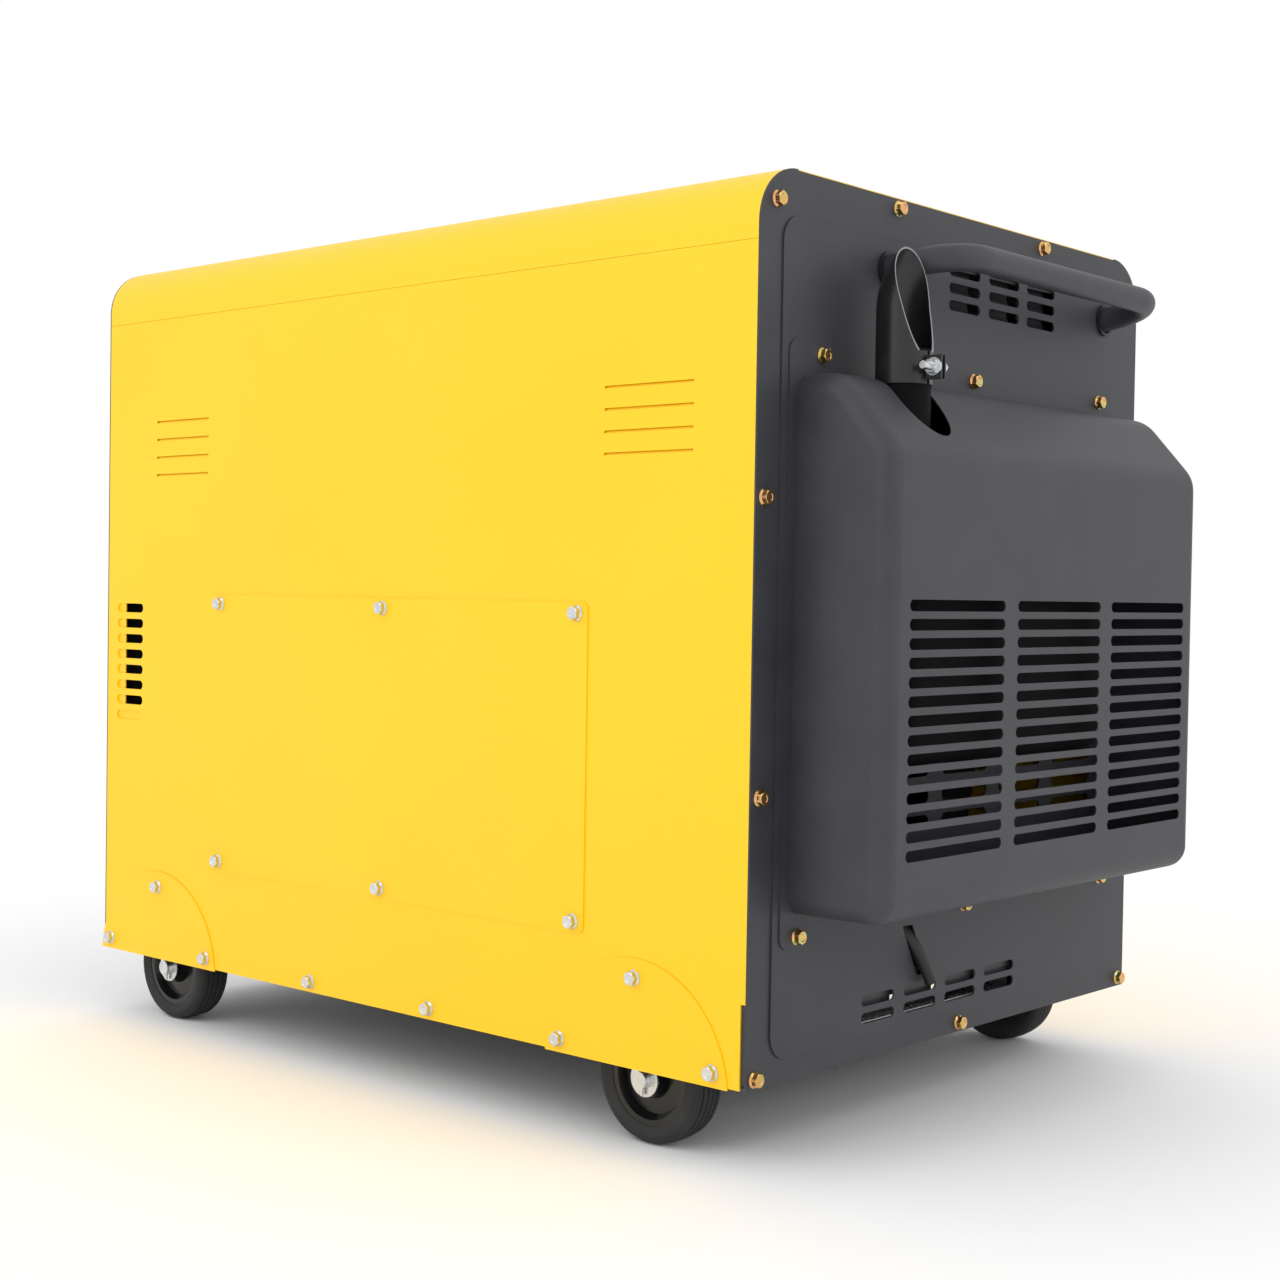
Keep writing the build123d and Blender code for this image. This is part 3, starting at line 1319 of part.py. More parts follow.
with BuildPart() as flywheel:
    with BuildSketch(Plane.YZ.offset(engine_back + 12)):
        with Locations((0, crank_z)):
            Circle(flywheel_radius)
            Circle(crank_radius, mode=Mode.SUBTRACT)
    extrude(amount=22)
    with BuildSketch(Plane.YZ.offset(engine_back + 34)):
        with Locations((0, crank_z)):
            with PolarLocations(flywheel_radius - 24, blade_count):
                Rectangle(40, 4)
    extrude(amount=30)
flywheel.part.label = "flywheel"
export_step(flywheel.part, "parts/flywheel.step")

# ---------------------------------------------------------------- alternator
alternator_length = 230.0
alternator_radius = 118.0
stator_inner = 72.0
rotor_radius = 70.0
rotor_shaft = 15.0
coupling_x = engine_back - crankcase_length
alternator_front = coupling_x - alternator_length

with BuildPart() as crankshaft:
    with BuildSketch(Plane.YZ.offset(coupling_x - 6)):
        with Locations((0, crank_z)):
            Circle(crank_radius)
    extrude(amount=crankcase_length + 6 + 34)
    for x in (cylinder_x - 36, cylinder_x + 18):
        with BuildSketch(Plane.YZ.offset(x)):
            with Locations((0, crank_z)):
                Circle(crank_web_radius)
        extrude(amount=18)
crankshaft.part.label = "crankshaft"
export_step(crankshaft.part, "parts/crankshaft.step")

with BuildPart() as alternator_rotor:
    with BuildSketch(Plane.YZ.offset(alternator_front - 8)):
        with Locations((0, crank_z)):
            Circle(rotor_shaft)
    extrude(amount=alternator_length + 2)
    with BuildSketch(Plane.YZ.offset(alternator_front + 50)):
        with Locations((0, crank_z)):
            Circle(rotor_radius)
    extrude(amount=alternator_length - 90)
alternator_rotor.part.label = "alternator_rotor"
export_step(alternator_rotor.part, "parts/alternator_rotor.step")

with BuildPart() as alternator_housing:
    with BuildSketch(Plane.YZ.offset(alternator_front)):
        with Locations((0, crank_z)):
            Circle(alternator_radius)
            with PolarLocations(alternator_radius, 24):
                Rectangle(8, 4)
    extrude(amount=alternator_length)
    block(alternator_front + 30, alternator_front + 100, -100, 100, mount_top, mount_top + 40)
    for x_from, depth, radius in ((alternator_front + 12, 30, 100.0),
                                  (alternator_front + 12, alternator_length - 12, stator_inner),
                                  (coupling_x - 30, 30, 100.0), (alternator_front, 12,
                                                                 rotor_shaft + running_clearance)):
        with BuildSketch(Plane.YZ.offset(x_from)):
            with Locations((0, crank_z)):
                Circle(radius)
        extrude(amount=depth, mode=Mode.SUBTRACT)
    for s in (-1, 1):
        with Locations((alternator_front + 65, s * 85, mount_top)):
            Cylinder(4.2, 30, mode=Mode.SUBTRACT)
alternator_housing.part.label = "alternator_housing"
export_step(alternator_housing.part, "parts/alternator_housing.step")

with BuildPart() as rubber_mounts:
    mount_spots = [(x, s * 90) for x in (engine_back - 40,
                                         engine_back - crankcase_length + 40) for s in (-1, 1)]
    mount_spots += [(alternator_front + 65, s * 85) for s in (-1, 1)]
    with BuildSketch(Plane.XY.offset(floor_z + frame_sheet)):
        with Locations(*mount_spots):
            Circle(mount_radius)
    extrude(amount=mount_top - floor_z - frame_sheet)
    with BuildSketch(Plane.XY.offset(mount_top)):
        with Locations(*mount_spots):
            Circle(4)
    extrude(amount=casting - 1)
rubber_mounts.part.label = "rubber_mounts"
export_step(rubber_mounts.part, "parts/rubber_mounts.step")

battery_x = (front + 45, front + 235)
battery_y = (-60.0, 110.0)
battery_height = 165.0
battery_corner = 5.0
post_radius = 9.0

with BuildPart() as battery:
    block(*battery_x, *battery_y, floor_z + frame_sheet, floor_z + frame_sheet + battery_height)
    fillet(battery.edges().filter_by(Axis.Z), battery_corner)
    with BuildSketch(Plane.XY.offset(floor_z + frame_sheet + battery_height)):
        with Locations(*[(x, battery_y[1] - 25) for x in (battery_x[0] + 30, battery_x[1] - 30)]):
            Circle(post_radius)
    extrude(amount=16)
battery.part.label = "battery"
export_step(battery.part, "parts/battery.step")

# ---------------------------------------------------------------- oil drain hose
hose_points = [
    hose_start,
    (rear - 115, -104.0, base + 116.0),
    (rear - 90, -102.5, base + 118.0),
    (rear - 64, -98.5, base + 119.5),
    (rear - 37.5, -92.5, base + 117.0),
    (rear - 11.5, -84.0, base + 104.5),
    (rear + 5.5, -71.5, base + 80.5),
    (rear + 9.5, -58.0, base + 52.0),
]
hose_points = [Vector(*point) for point in hose_points]
hose_radii = []
for before, corner, after in zip(hose_points, hose_points[1:], hose_points[2:]):
    runs = (corner - before, after - corner)
    half_turn = runs[0].get_angle(runs[1]) / 2
    hose_radii.append(0.45 * min(run.length for run in runs) / tan(radians(half_turn)))
print("hose radii", [round(radius, 1) for radius in hose_radii], "shortest allowed", 5 * 2 * hose_radius)

with BuildPart() as drain_hose:
    with BuildLine() as hose_route:
        FilletPolyline(*hose_points, radius=hose_radii)
    with BuildSketch(Plane(origin=hose_route.line @ 0, z_dir=hose_route.line % 0)):
        Circle(hose_radius)
    sweep(path=hose_route.line)
drain_hose.part.label = "drain_hose"
export_step(drain_hose.part, "parts/drain_hose.step")
print("hose length", round(sum(edge.length for edge in hose_route.edges()), 1))
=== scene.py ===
# %% [markdown]
# # A silent diesel generating set
# The real machine is a small engine and alternator in a bent sheet-metal canopy on four wheels.
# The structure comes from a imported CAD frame, and this lesson gives it finishes and fine detail:
# powder coat, zinc plate, moulded rubber, and the bolts and tyres that are seen close up.

# %% Load the frame
import json
from math import cos, pi, radians, sin, tan

import bmesh
import bpy
from mathutils import Matrix, Vector


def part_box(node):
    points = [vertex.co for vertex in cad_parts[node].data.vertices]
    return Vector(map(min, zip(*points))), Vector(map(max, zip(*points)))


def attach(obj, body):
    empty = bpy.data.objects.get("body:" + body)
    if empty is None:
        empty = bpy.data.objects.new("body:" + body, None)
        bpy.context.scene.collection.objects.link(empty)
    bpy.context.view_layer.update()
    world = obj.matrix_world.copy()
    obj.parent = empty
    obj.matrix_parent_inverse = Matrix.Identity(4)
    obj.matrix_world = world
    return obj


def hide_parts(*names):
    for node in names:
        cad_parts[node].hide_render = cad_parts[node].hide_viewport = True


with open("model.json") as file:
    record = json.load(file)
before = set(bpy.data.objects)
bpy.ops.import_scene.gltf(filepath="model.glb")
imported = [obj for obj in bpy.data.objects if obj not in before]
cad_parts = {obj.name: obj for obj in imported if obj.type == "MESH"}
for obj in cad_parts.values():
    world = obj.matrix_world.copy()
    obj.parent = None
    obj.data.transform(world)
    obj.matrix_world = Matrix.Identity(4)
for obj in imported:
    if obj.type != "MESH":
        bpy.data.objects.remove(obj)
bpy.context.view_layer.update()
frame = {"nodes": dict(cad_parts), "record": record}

# %% [markdown]
# ## Camera
# A 55 mm lens stands a metre and a half from one rear corner, just above half the machine's height and
# nearly level, so that upright edges stay nearly upright.
# The camera is aimed by three angles, because a small roll is easier to state that way than with a target.

# %% Camera
MM = 0.001
camera_place = Vector((1.3055, -1.4255, 0.4349))
camera_yaw = radians(41.587)
camera_pitch = radians(1.398)
camera_roll = radians(0.9156)
focal_length = 54.98
full_frame = 36.0

forward = Vector((-sin(camera_yaw) * cos(camera_pitch), cos(camera_yaw) * cos(camera_pitch),
                  -sin(camera_pitch)))
level_right = forward.cross(Vector((0, 0, 1))).normalized()
level_up = level_right.cross(forward)
right = cos(camera_roll) * level_right + sin(camera_roll) * level_up
up = cos(camera_roll) * level_up - sin(camera_roll) * level_right

lens = bpy.data.cameras.new("studio_camera")
lens.sensor_width = full_frame
lens.lens = focal_length
camera = bpy.data.objects.new("studio_camera", lens)
camera.matrix_world = Matrix.Translation(camera_place) @ Matrix((right, up, -forward)).transposed().to_4x4()
bpy.context.scene.collection.objects.link(camera)
bpy.context.scene.camera = camera
print("camera:", lens.lens, "mm lens at", [round(v, 3) for v in camera_place])

# %% [markdown]
# ## Colour and nodes
# Paint charts give colours as sRGB hex values, but shaders add light in linear values, so one function
# turns the first into the second. A second small function adds any shader node with its values and links.

# %% Colour and node helpers
def linear(hex_colour):
    """sRGB hex colour as linear red, green, blue and alpha."""
    channels = [int(hex_colour[i:i + 2], 16) / 255 for i in (1, 3, 5)]
    return [c / 12.92 if c <= 0.04045 else ((c + 0.055) / 1.055) ** 2.4 for c in channels] + [1.0]


def add_node(tree, kind, values=(), links=(), **properties):
    """Adds one shader node, with its properties, its input values and its input links."""
    node = tree.nodes.new("ShaderNode" + kind)
    for name, value in properties.items():
        setattr(node, name, value)
    for name, value in dict(values).items():
        node.inputs[name].default_value = value
    for name, output in dict(links).items():
        tree.links.new(output, node.inputs[name])
    return node


socket_names = {"transmission_weight": "Transmission Weight", "specular_ior_level": "Specular IOR Level",
                "ior": "IOR"}


def new_finish(name, colour, roughness, metallic=0.0, **sockets):
    """A material with its plain values set on the shader itself."""
    material = bpy.data.materials.new(name)
    material.use_nodes = True
    shader = material.node_tree.nodes["Principled BSDF"]
    shader.inputs["Base Color"].default_value = linear(colour)
    shader.inputs["Roughness"].default_value = roughness
    shader.inputs["Metallic"].default_value = metallic
    for socket, value in sockets.items():
        shader.inputs[socket_names[socket]].default_value = value
    return material, material.node_tree, shader


print("yellow in linear light:", [round(c, 3) for c in linear("#FFCE05")[:3]])

# %% [markdown]
# Every real finish has grain: the orange peel of sprayed powder, the pebble of a moulding, the sand of
# a casting. One helper gives a finish its grain as bump, and lets its colour and roughness drift with a
# slower pattern. Sizes are in millimetres, and the coordinates are metres, so a scale is 1000 / size.
# Noise seldom leaves the middle of its range, so the colours sit between 0.3 and 0.7 of it.

# %% Grain and drift
first_stop, stop_span = 0.3, 0.4


def add_grain(tree, shader, grain_mm, depth_mm):
    """Fine bumps of a real size over the whole surface."""
    place = add_node(tree, "TexCoord")
    noise = add_node(tree, "TexNoise", {"Scale": 1000 / grain_mm, "Detail": 2.0},
                     {"Vector": place.outputs["Object"]})
    bump = add_node(tree, "Bump", {"Strength": 1.0, "Distance": depth_mm * MM},
                    {"Height": noise.outputs["Fac"]})
    tree.links.new(bump.outputs["Normal"], shader.inputs["Normal"])


def add_drift(tree, shader, patch_mm, stops, roughness):
    """Slow drift through a few colours, and between two roughness values."""
    place = add_node(tree, "TexCoord")
    noise = add_node(tree, "TexNoise", {"Scale": 1000 / patch_mm, "Detail": 3.0},
                     {"Vector": place.outputs["Object"]})
    ramp = add_node(tree, "ValToRGB", links={"Fac": noise.outputs["Fac"]})
    elements = ramp.color_ramp.elements
    for _ in stops[2:]:
        elements.new(0.5)
    for index, colour in enumerate(stops):
        elements[index].position = first_stop + stop_span * index / (len(stops) - 1)
        elements[index].color = linear(colour)
    spread = add_node(tree, "MapRange", {"To Min": roughness[0], "To Max": roughness[1]},
                      {"Value": noise.outputs["Fac"]})
    tree.links.new(ramp.outputs["Color"], shader.inputs["Base Color"])
    tree.links.new(spread.outputs["Result"], shader.inputs["Roughness"])


def surfaced(name, stops, roughness, metallic, grain_mm, depth_mm, patch_mm, **sockets):
    """A finish with grain and drift together."""
    material, tree, shader = new_finish(name, stops[0], roughness[0], metallic, **sockets)
    add_grain(tree, shader, grain_mm, depth_mm)
    add_drift(tree, shader, patch_mm, stops, roughness)
    print("finish:", name)
    return material


# %% [markdown]
# ## Paint
# Powder coat is sprayed on as dry powder and baked. The yellow sheets have a smooth grade, glossy with
# a faint orange peel about 3 mm from crest to crest. The black ends have a fine-texture grade, whose
# pebbles are near 0.3 mm: they are drawn 1.1 mm across, because finer ones would not show.

# %% Paint
yellow_powder_coat = surfaced("yellow_powder_coat", ("#FFCE05", "#FFCB00"), (0.40, 0.48), 0.0,
                              grain_mm=3.0, depth_mm=0.02, patch_mm=260)
black_textured_powder_coat = surfaced("black_textured_powder_coat", ("#2E2F34", "#37383E"), (0.46, 0.58),
                                      0.0, grain_mm=1.1, depth_mm=0.10, patch_mm=60)
frame_paint = surfaced("frame_paint", ("#26272A", "#303135"), (0.42, 0.52), 0.0,
                       grain_mm=2.5, depth_mm=0.03, patch_mm=80)
exhaust_enamel = surfaced("exhaust_enamel", ("#161617", "#222224"), (0.24, 0.36), 0.0,
                          grain_mm=4.0, depth_mm=0.03, patch_mm=30)
# A darker copy of the exhaust enamel with weak reflection: painted shade for the muffler inside its cover.
painted_shade_enamel = surfaced("painted_shade_enamel", ("#060607", "#0D0C0E"), (0.70, 0.85), 0.0,
                        grain_mm=2.0, depth_mm=0.05, patch_mm=45, specular_ior_level=0.12)
control_plate = surfaced("control_plate", ("#2A2B2E", "#303236"), (0.38, 0.46), 0.0,
                         grain_mm=1.5, depth_mm=0.03, patch_mm=70)

# %% [markdown]
# ## Plated and bare metal
# Zinc plate keeps small parts from rusting. Its clear grade is bluish silver. The yellow chromate
# grade is a thin film, so the same bolt shows gold, pink and green where the film's thickness drifts.
# Castings are grainy where the sand touched them, and turned shafts are smooth.

# %% Metals
bright_zinc = surfaced("bright_zinc", ("#C9CDD0", "#DADCDD"), (0.20, 0.32), 1.0,
                       grain_mm=1.2, depth_mm=0.01, patch_mm=6)
yellow_zinc = surfaced("yellow_zinc", ("#B9C08A", "#DDB65C", "#E2A77E", "#D9B765"), (0.20, 0.30), 1.0,
                       grain_mm=1.2, depth_mm=0.01, patch_mm=9)
cast_aluminium = surfaced("cast_aluminium", ("#9FA1A3", "#B1B3B4"), (0.48, 0.60), 1.0,
                          grain_mm=1.6, depth_mm=0.20, patch_mm=40)
cast_iron = surfaced("cast_iron", ("#47474A", "#545457"), (0.58, 0.72), 1.0,
                     grain_mm=1.8, depth_mm=0.25, patch_mm=40)
turned_steel = surfaced("turned_steel", ("#8C8E91", "#9A9C9E"), (0.22, 0.34), 1.0,
                        grain_mm=2.0, depth_mm=0.01, patch_mm=30)

# %% [markdown]
# ## Rubber and plastic
# Moulded rubber is dull, and a little dusty on the tyres. The wheel centres are polished
# polypropylene, which mirrors the floor. The control parts have the fine pebble of a spark-eroded mould.

# %% Rubber and plastic
tyre_rubber = surfaced("tyre_rubber", ("#1D1D1E", "#29292A"), (0.62, 0.80), 0.0,
                       grain_mm=1.4, depth_mm=0.08, patch_mm=25)
black_rubber = surfaced("black_rubber", ("#151516", "#1E1E1F"), (0.40, 0.54), 0.0,
                        grain_mm=1.6, depth_mm=0.04, patch_mm=20)
wheel_plastic = surfaced("wheel_plastic", ("#0F0F10", "#151517"), (0.16, 0.24), 0.0,
                         grain_mm=6.0, depth_mm=0.02, patch_mm=40)
black_plastic = surfaced("black_plastic", ("#18181A", "#202022"), (0.48, 0.58), 0.0,
                         grain_mm=0.8, depth_mm=0.05, patch_mm=50)
tank_plastic = surfaced("tank_plastic", ("#17181A", "#212225"), (0.50, 0.62), 0.0,
                        grain_mm=2.2, depth_mm=0.06, patch_mm=90)
battery_case = surfaced("battery_case", ("#1B1C1F", "#232429"), (0.44, 0.54), 0.0,
                        grain_mm=1.2, depth_mm=0.05, patch_mm=60)
lid_plastic = surfaced("lid_plastic", ("#1D4E96", "#2258A6"), (0.38, 0.46), 0.0,
                       grain_mm=1.0, depth_mm=0.03, patch_mm=30)
red_plastic = surfaced("red_plastic", ("#B5180F", "#C42015"), (0.26, 0.34), 0.0,
                       grain_mm=2.0, depth_mm=0.02, patch_mm=15)

# %% [markdown]
# ## Clear parts
# The lamp caps are tinted acrylic and the meter's window is clear acrylic. Acrylic bends light with an
# index of 1.49. A trace of bump keeps the window from looking like an empty hole.

# %% Clear parts
lamp_lens = surfaced("lamp_lens", ("#1F9A3A", "#27A845"), (0.10, 0.16), 0.0,
                     grain_mm=2.0, depth_mm=0.02, patch_mm=8, transmission_weight=0.35)
clear_lens = surfaced("clear_lens", ("#F4F7F7", "#FFFFFF"), (0.02, 0.05), 0.0,
                      grain_mm=9.0, depth_mm=0.01, patch_mm=30, transmission_weight=0.95, ior=1.49)

# %% [markdown]
# ## Dress the frame
# The record already says which finish each part has, so the finishes are handed out from it. A name
# that had no finish would stop the script here, which is safer than a part left plain. The muffler
# shares the elbow's enamel, but it gets a darker, duller copy of that paint: painted shade inside the
# cover.

# %% Dress the frame
finishes = {
    "yellow_powder_coat": yellow_powder_coat, "black_textured_powder_coat": black_textured_powder_coat,
    "frame_paint": frame_paint, "exhaust_enamel": exhaust_enamel, "control_plate": control_plate,
    "bright_zinc": bright_zinc, "yellow_zinc": yellow_zinc, "tyre_rubber": tyre_rubber,
    "wheel_plastic": wheel_plastic, "black_rubber": black_rubber, "black_plastic": black_plastic,
    "lid_plastic": lid_plastic, "red_plastic": red_plastic, "lamp_lens": lamp_lens,
    "clear_lens": clear_lens, "tank_plastic": tank_plastic, "cast_aluminium": cast_aluminium,
    "cast_iron": cast_iron, "steel": turned_steel, "battery_case": battery_case,
}
for entry in frame["record"]["subparts"]:
    mesh = frame["nodes"][entry["node"]].data
    mesh.materials.clear()
    mesh.materials.append(finishes[entry["material_slot"]])
# The muffler gets the darker enamel copy, which is painted shade for the shadow inside the cover.
muffler_mesh = frame["nodes"]["muffler"].data
muffler_mesh.materials.clear()
muffler_mesh.materials.append(painted_shade_enamel)

# %% [markdown]
# ## Drain hose
# A short oil-drain hose hangs from the crankcase and bends out under the muffler cover. It is a round
# rubber tube, so a smooth curve with a round bevel makes it, at its real length and thickness.

# %% Drain hose
hose_diameter = 10.6 * MM
hose_route = [
    (0.2705, -0.1040, 0.1805), (0.2955, -0.1040, 0.1805), (0.3205, -0.1025, 0.1825),
    (0.3465, -0.0985, 0.1840), (0.3730, -0.0925, 0.1815), (0.3990, -0.0840, 0.1690),
    (0.4160, -0.0715, 0.1450), (0.4200, -0.0580, 0.1165),
]
hose_curve = bpy.data.curves.new("drain_hose_tube", "CURVE")
hose_curve.dimensions = "3D"
hose_curve.bevel_depth = hose_diameter / 2
hose_curve.bevel_resolution = 8
hose_curve.resolution_u = 24
hose_curve.use_fill_caps = True
hose_line = hose_curve.splines.new("NURBS")
hose_line.points.add(len(hose_route) - 1)
for point, place in zip(hose_line.points, hose_route):
    point.co = (*place, 1.0)
hose_line.order_u = 3
hose_line.use_endpoint_u = True
hose_curve.materials.append(black_rubber)
hose = bpy.data.objects.new("drain_hose_tube", hose_curve)
bpy.context.scene.collection.objects.link(hose)
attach(hose, "chassis")
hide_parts("drain_hose")
print("drain hose:", len(hose_route), "points")

# %% [markdown]
# ## Ring-built shapes
# Bolts and tyres are both a stack of closed rings round an axis. One helper joins such rings with
# faces. It closes the two ends, or joins the last ring to the first. A ring is a function of the
# angle, so that a hexagon and a circle can be joined in the same stack.

# %% Ring helper
def stack_rings(bm, rings, steps, place, joined=False):
    """Skins rings, each a function from an angle to (radius, height), about the place's Z axis."""
    rows = []
    for ring in rings:
        row = []
        for step in range(steps):
            angle = 2 * pi * step / steps
            radius, height = ring(angle)
            row.append(bm.verts.new(place @ Vector((radius * cos(angle), radius * sin(angle), height))))
        rows.append(row)
    pairs = list(zip(rows, rows[1:]))
    if joined:
        pairs.append((rows[-1], rows[0]))
    for low, high in pairs:
        for step in range(steps):
            after = (step + 1) % steps
            bm.faces.new((low[step], low[after], high[after], high[step]))
    if not joined:
        bm.faces.new(reversed(rows[0]))
        bm.faces.new(rows[-1])


def finish_piece(bm, name, body, slot, smooth_angle=35):
    """Turns a bmesh into a piece that rides on a body, in the finish of a slot."""
    bmesh.ops.recalc_face_normals(bm, faces=bm.faces)
    mesh = bpy.data.meshes.new(name)
    bm.to_mesh(mesh)
    bm.free()
    mesh.materials.append(finishes[slot])
    mesh.shade_smooth()
    mesh.set_sharp_from_angle(angle=radians(smooth_angle))
    piece = bpy.data.objects.new(name, mesh)
    bpy.context.scene.collection.objects.link(piece)
    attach(piece, body)
    return piece


same_point = 0.001 * MM


def solids_in(node):
    """(lowest corner, highest corner) of each separate solid in a node."""
    bm = bmesh.new()
    bm.from_mesh(frame["nodes"][node].data)
    bmesh.ops.remove_doubles(bm, verts=bm.verts, dist=same_point)
    left = set(bm.verts)
    found = []
    while left:
        island = {left.pop()}
        waiting = list(island)
        while waiting:
            vertex = waiting.pop()
            near = {edge.other_vert(vertex) for edge in vertex.link_edges} & left
            left -= near
            island |= near
            waiting += near
        places = [v.co for v in island]
        found.append((Vector([min(p[i] for p in places) for i in range(3)]),
                      Vector([max(p[i] for p in places) for i in range(3)])))
    bm.free()
    return sorted(found, key=lambda box: tuple(round(c, 5) for c in box[0]))


# %% [markdown]
# ## Flange bolts
# The sheets are held by M6 flange bolts. A forged hexagon has a 30 degree chamfer all round its top,
# which cuts a curved edge on each flat, a shallow dish in its top, and a flange that slopes to a thin
# rim. Those edges catch the light, so each bolt is built ring by ring at the place of its CAD solid, and
# turned by its own angle.

# %% Flange bolts
across_flats = 10.0 * MM
flange_radius = 6.5 * MM
flange_height = 1.6 * MM
rim_height = 0.5 * MM
head_height = 6.0 * MM
chamfer = radians(30)
top_radius = 0.95 * across_flats / 2
dish_radius = 0.62 * across_flats / 2
dish_floor_radius = 0.52 * across_flats / 2
dish_depth = 0.35 * MM
bolt_steps = 72
turn_between_bolts = radians(37)


def hexagon(angle):
    """Distance from the axis to the hexagon's side."""
    return across_flats / 2 / cos((angle % (pi / 3)) - pi / 6)


def chamfered(angle):
    """A point on the chamfer's curved lower edge."""
    radius = hexagon(angle)
    return radius, head_height - (radius - top_radius) * tan(chamfer)


bolt_rings = [
    lambda a: (flange_radius, 0.0),
    lambda a: (flange_radius, rim_height),
    lambda a: (flange_radius - 0.3 * MM, 0.8 * MM),
    lambda a: (max(hexagon(a), 5.2 * MM) + 0.1 * MM, flange_height),
    lambda a: (hexagon(a), flange_height + 0.2 * MM),
    chamfered,
    lambda a: (top_radius, head_height),
    lambda a: (dish_radius, head_height),
    lambda a: (dish_floor_radius, head_height - dish_depth),
]


def bolts_on(node, name, axis, slot):
    """Detailed bolts at the solids of a node, with their heads outwards along an axis."""
    bm = bmesh.new()
    boxes = solids_in(node)
    for index, (low, high) in enumerate(boxes):
        middle = (low + high) / 2
        outward = Vector((0, 0, 0))
        outward[axis] = 1 if middle[axis] > 0 else -1
        seat = middle.copy()
        seat[axis] = (high if outward[axis] > 0 else low)[axis] - outward[axis] * head_height
        turn = outward.to_track_quat("Z", "Y").to_matrix().to_4x4()
        spin = Matrix.Rotation(turn_between_bolts * index, 4, "Z")
        stack_rings(bm, bolt_rings, bolt_steps, Matrix.Translation(seat) @ turn @ spin)
    piece = finish_piece(bm, name, "chassis", slot, smooth_angle=25)
    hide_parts(node)
    print(name + ":", len(boxes), "bolts")


bolts_on("end_bolts", "end_flange_bolts", 0, "yellow_zinc")
bolts_on("side_bolts", "side_flange_bolts", 1, "bright_zinc")

# %% [markdown]
# ## Tyres
# Each small solid tyre has a crowned tread with grooves moulded round it, soft shoulders and a step on
# the side wall. The section is turned round the axle like clay on a wheel.

# %% Tyres
groove_places = (-8.4 * MM, -2.8 * MM, 2.8 * MM, 8.4 * MM)
groove_half = 0.8 * MM
groove_depth = 1.3 * MM
tread_half = 13.0 * MM
crown_fall = 1.1 * MM
groove_floor_share = 0.6
bead_half = 14.5 * MM
shoulder_half = 15.2 * MM
box_gap = 0.02 * MM
tyre_steps = 128


def tyre_section(hub_radius, tyre_radius, half_width):
    """Section points (radius, height), from one bead over the tread to the other."""
    wall = [(hub_radius, bead_half), (tyre_radius - 9.5 * MM, half_width - 0.6 * MM),
            (tyre_radius - 8.0 * MM, half_width), (tyre_radius - 5.0 * MM, half_width - 0.1 * MM),
            (tyre_radius - 4.4 * MM, half_width - 0.8 * MM), (tyre_radius - 2.4 * MM, shoulder_half)]
    crown = [-tread_half]
    for place in groove_places:
        flat_half = groove_floor_share * groove_half
        crown += [place - groove_half, place - flat_half, place + flat_half, place + groove_half]
    crown.append(tread_half)
    tread = []
    for height in crown:
        between = groove_half * (1 + groove_floor_share) / 2
        in_groove = any(abs(height - place) < between for place in groove_places)
        fall = crown_fall * (height / tread_half) ** 2 + (groove_depth if in_groove else 0.0)
        tread.append((tyre_radius - fall, height))
    return [(r, -h) for r, h in wall] + tread + [(r, h) for r, h in reversed(wall)]


for corner in ("rear_left", "rear_right", "front_left", "front_right"):
    low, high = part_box(corner + "_tyre")
    hub_low, hub_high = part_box(corner + "_wheel_hub")
    section = tyre_section((hub_high.z - hub_low.z) / 2, (high.x - low.x) / 2 - box_gap,
                           (high.y - low.y) / 2)
    axle = Matrix.Translation((low + high) / 2) @ Matrix.Rotation(radians(90), 4, "X")
    bm = bmesh.new()
    stack_rings(bm, [lambda a, p=p: p for p in section], tyre_steps, axle, joined=True)
    tyre = finish_piece(bm, corner + "_ribbed_tyre", corner + "_wheel", "tyre_rubber", smooth_angle=50)
    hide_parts(corner + "_tyre")
print("tyres: 4, with", len(groove_places), "grooves each")

# %% [markdown]
# ## Sheet behind the slots
# Rain must not blow straight in, so each upper and lower slot of the rear end has a small pressed hood
# behind it. A hood is a bent strip. An upper one starts under the slot's lower edge and curves back and
# up, and a lower one stands upright and folds over to meet the sheet above the slots.
# The fine slits of the sides are louvres, whose lower lip is pushed in by about its own height.

# %% Hoods and louvre lips
skin = 1.5 * MM
rear_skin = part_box("rear_panel")[1].x - skin
rear_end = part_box("left_side_panel")[1].x
front_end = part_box("left_side_panel")[0].x
side_half = -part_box("left_side_panel")[0].y
roof_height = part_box("top_cover")[1].z
canopy_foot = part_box("rear_panel")[0].z


def bent_strip(bm, along, section, thickness):
    """A sheet strip: section points in a plane, carried from one end of along to the other."""
    axis, start, end = along
    points = [Vector(point) for point in section]
    offsets = []
    for index, point in enumerate(points):
        before = points[max(index - 1, 0)]
        after = points[min(index + 1, len(points) - 1)]
        tangent = (after - before).normalized()
        offsets.append(point + Vector((-tangent.y, tangent.x)) * thickness)
    loop = points + list(reversed(offsets))
    rows = []
    for reach in (start, end):
        row = []
        for across, height in loop:
            place = (across, reach, height) if axis == "y" else (reach, across, height)
            row.append(bm.verts.new(place))
        rows.append(row)
    for index in range(len(loop)):
        after = (index + 1) % len(loop)
        bm.faces.new((rows[0][index], rows[0][after], rows[1][after], rows[1][index]))
    bm.faces.new(rows[0])
    bm.faces.new(list(reversed(rows[1])))


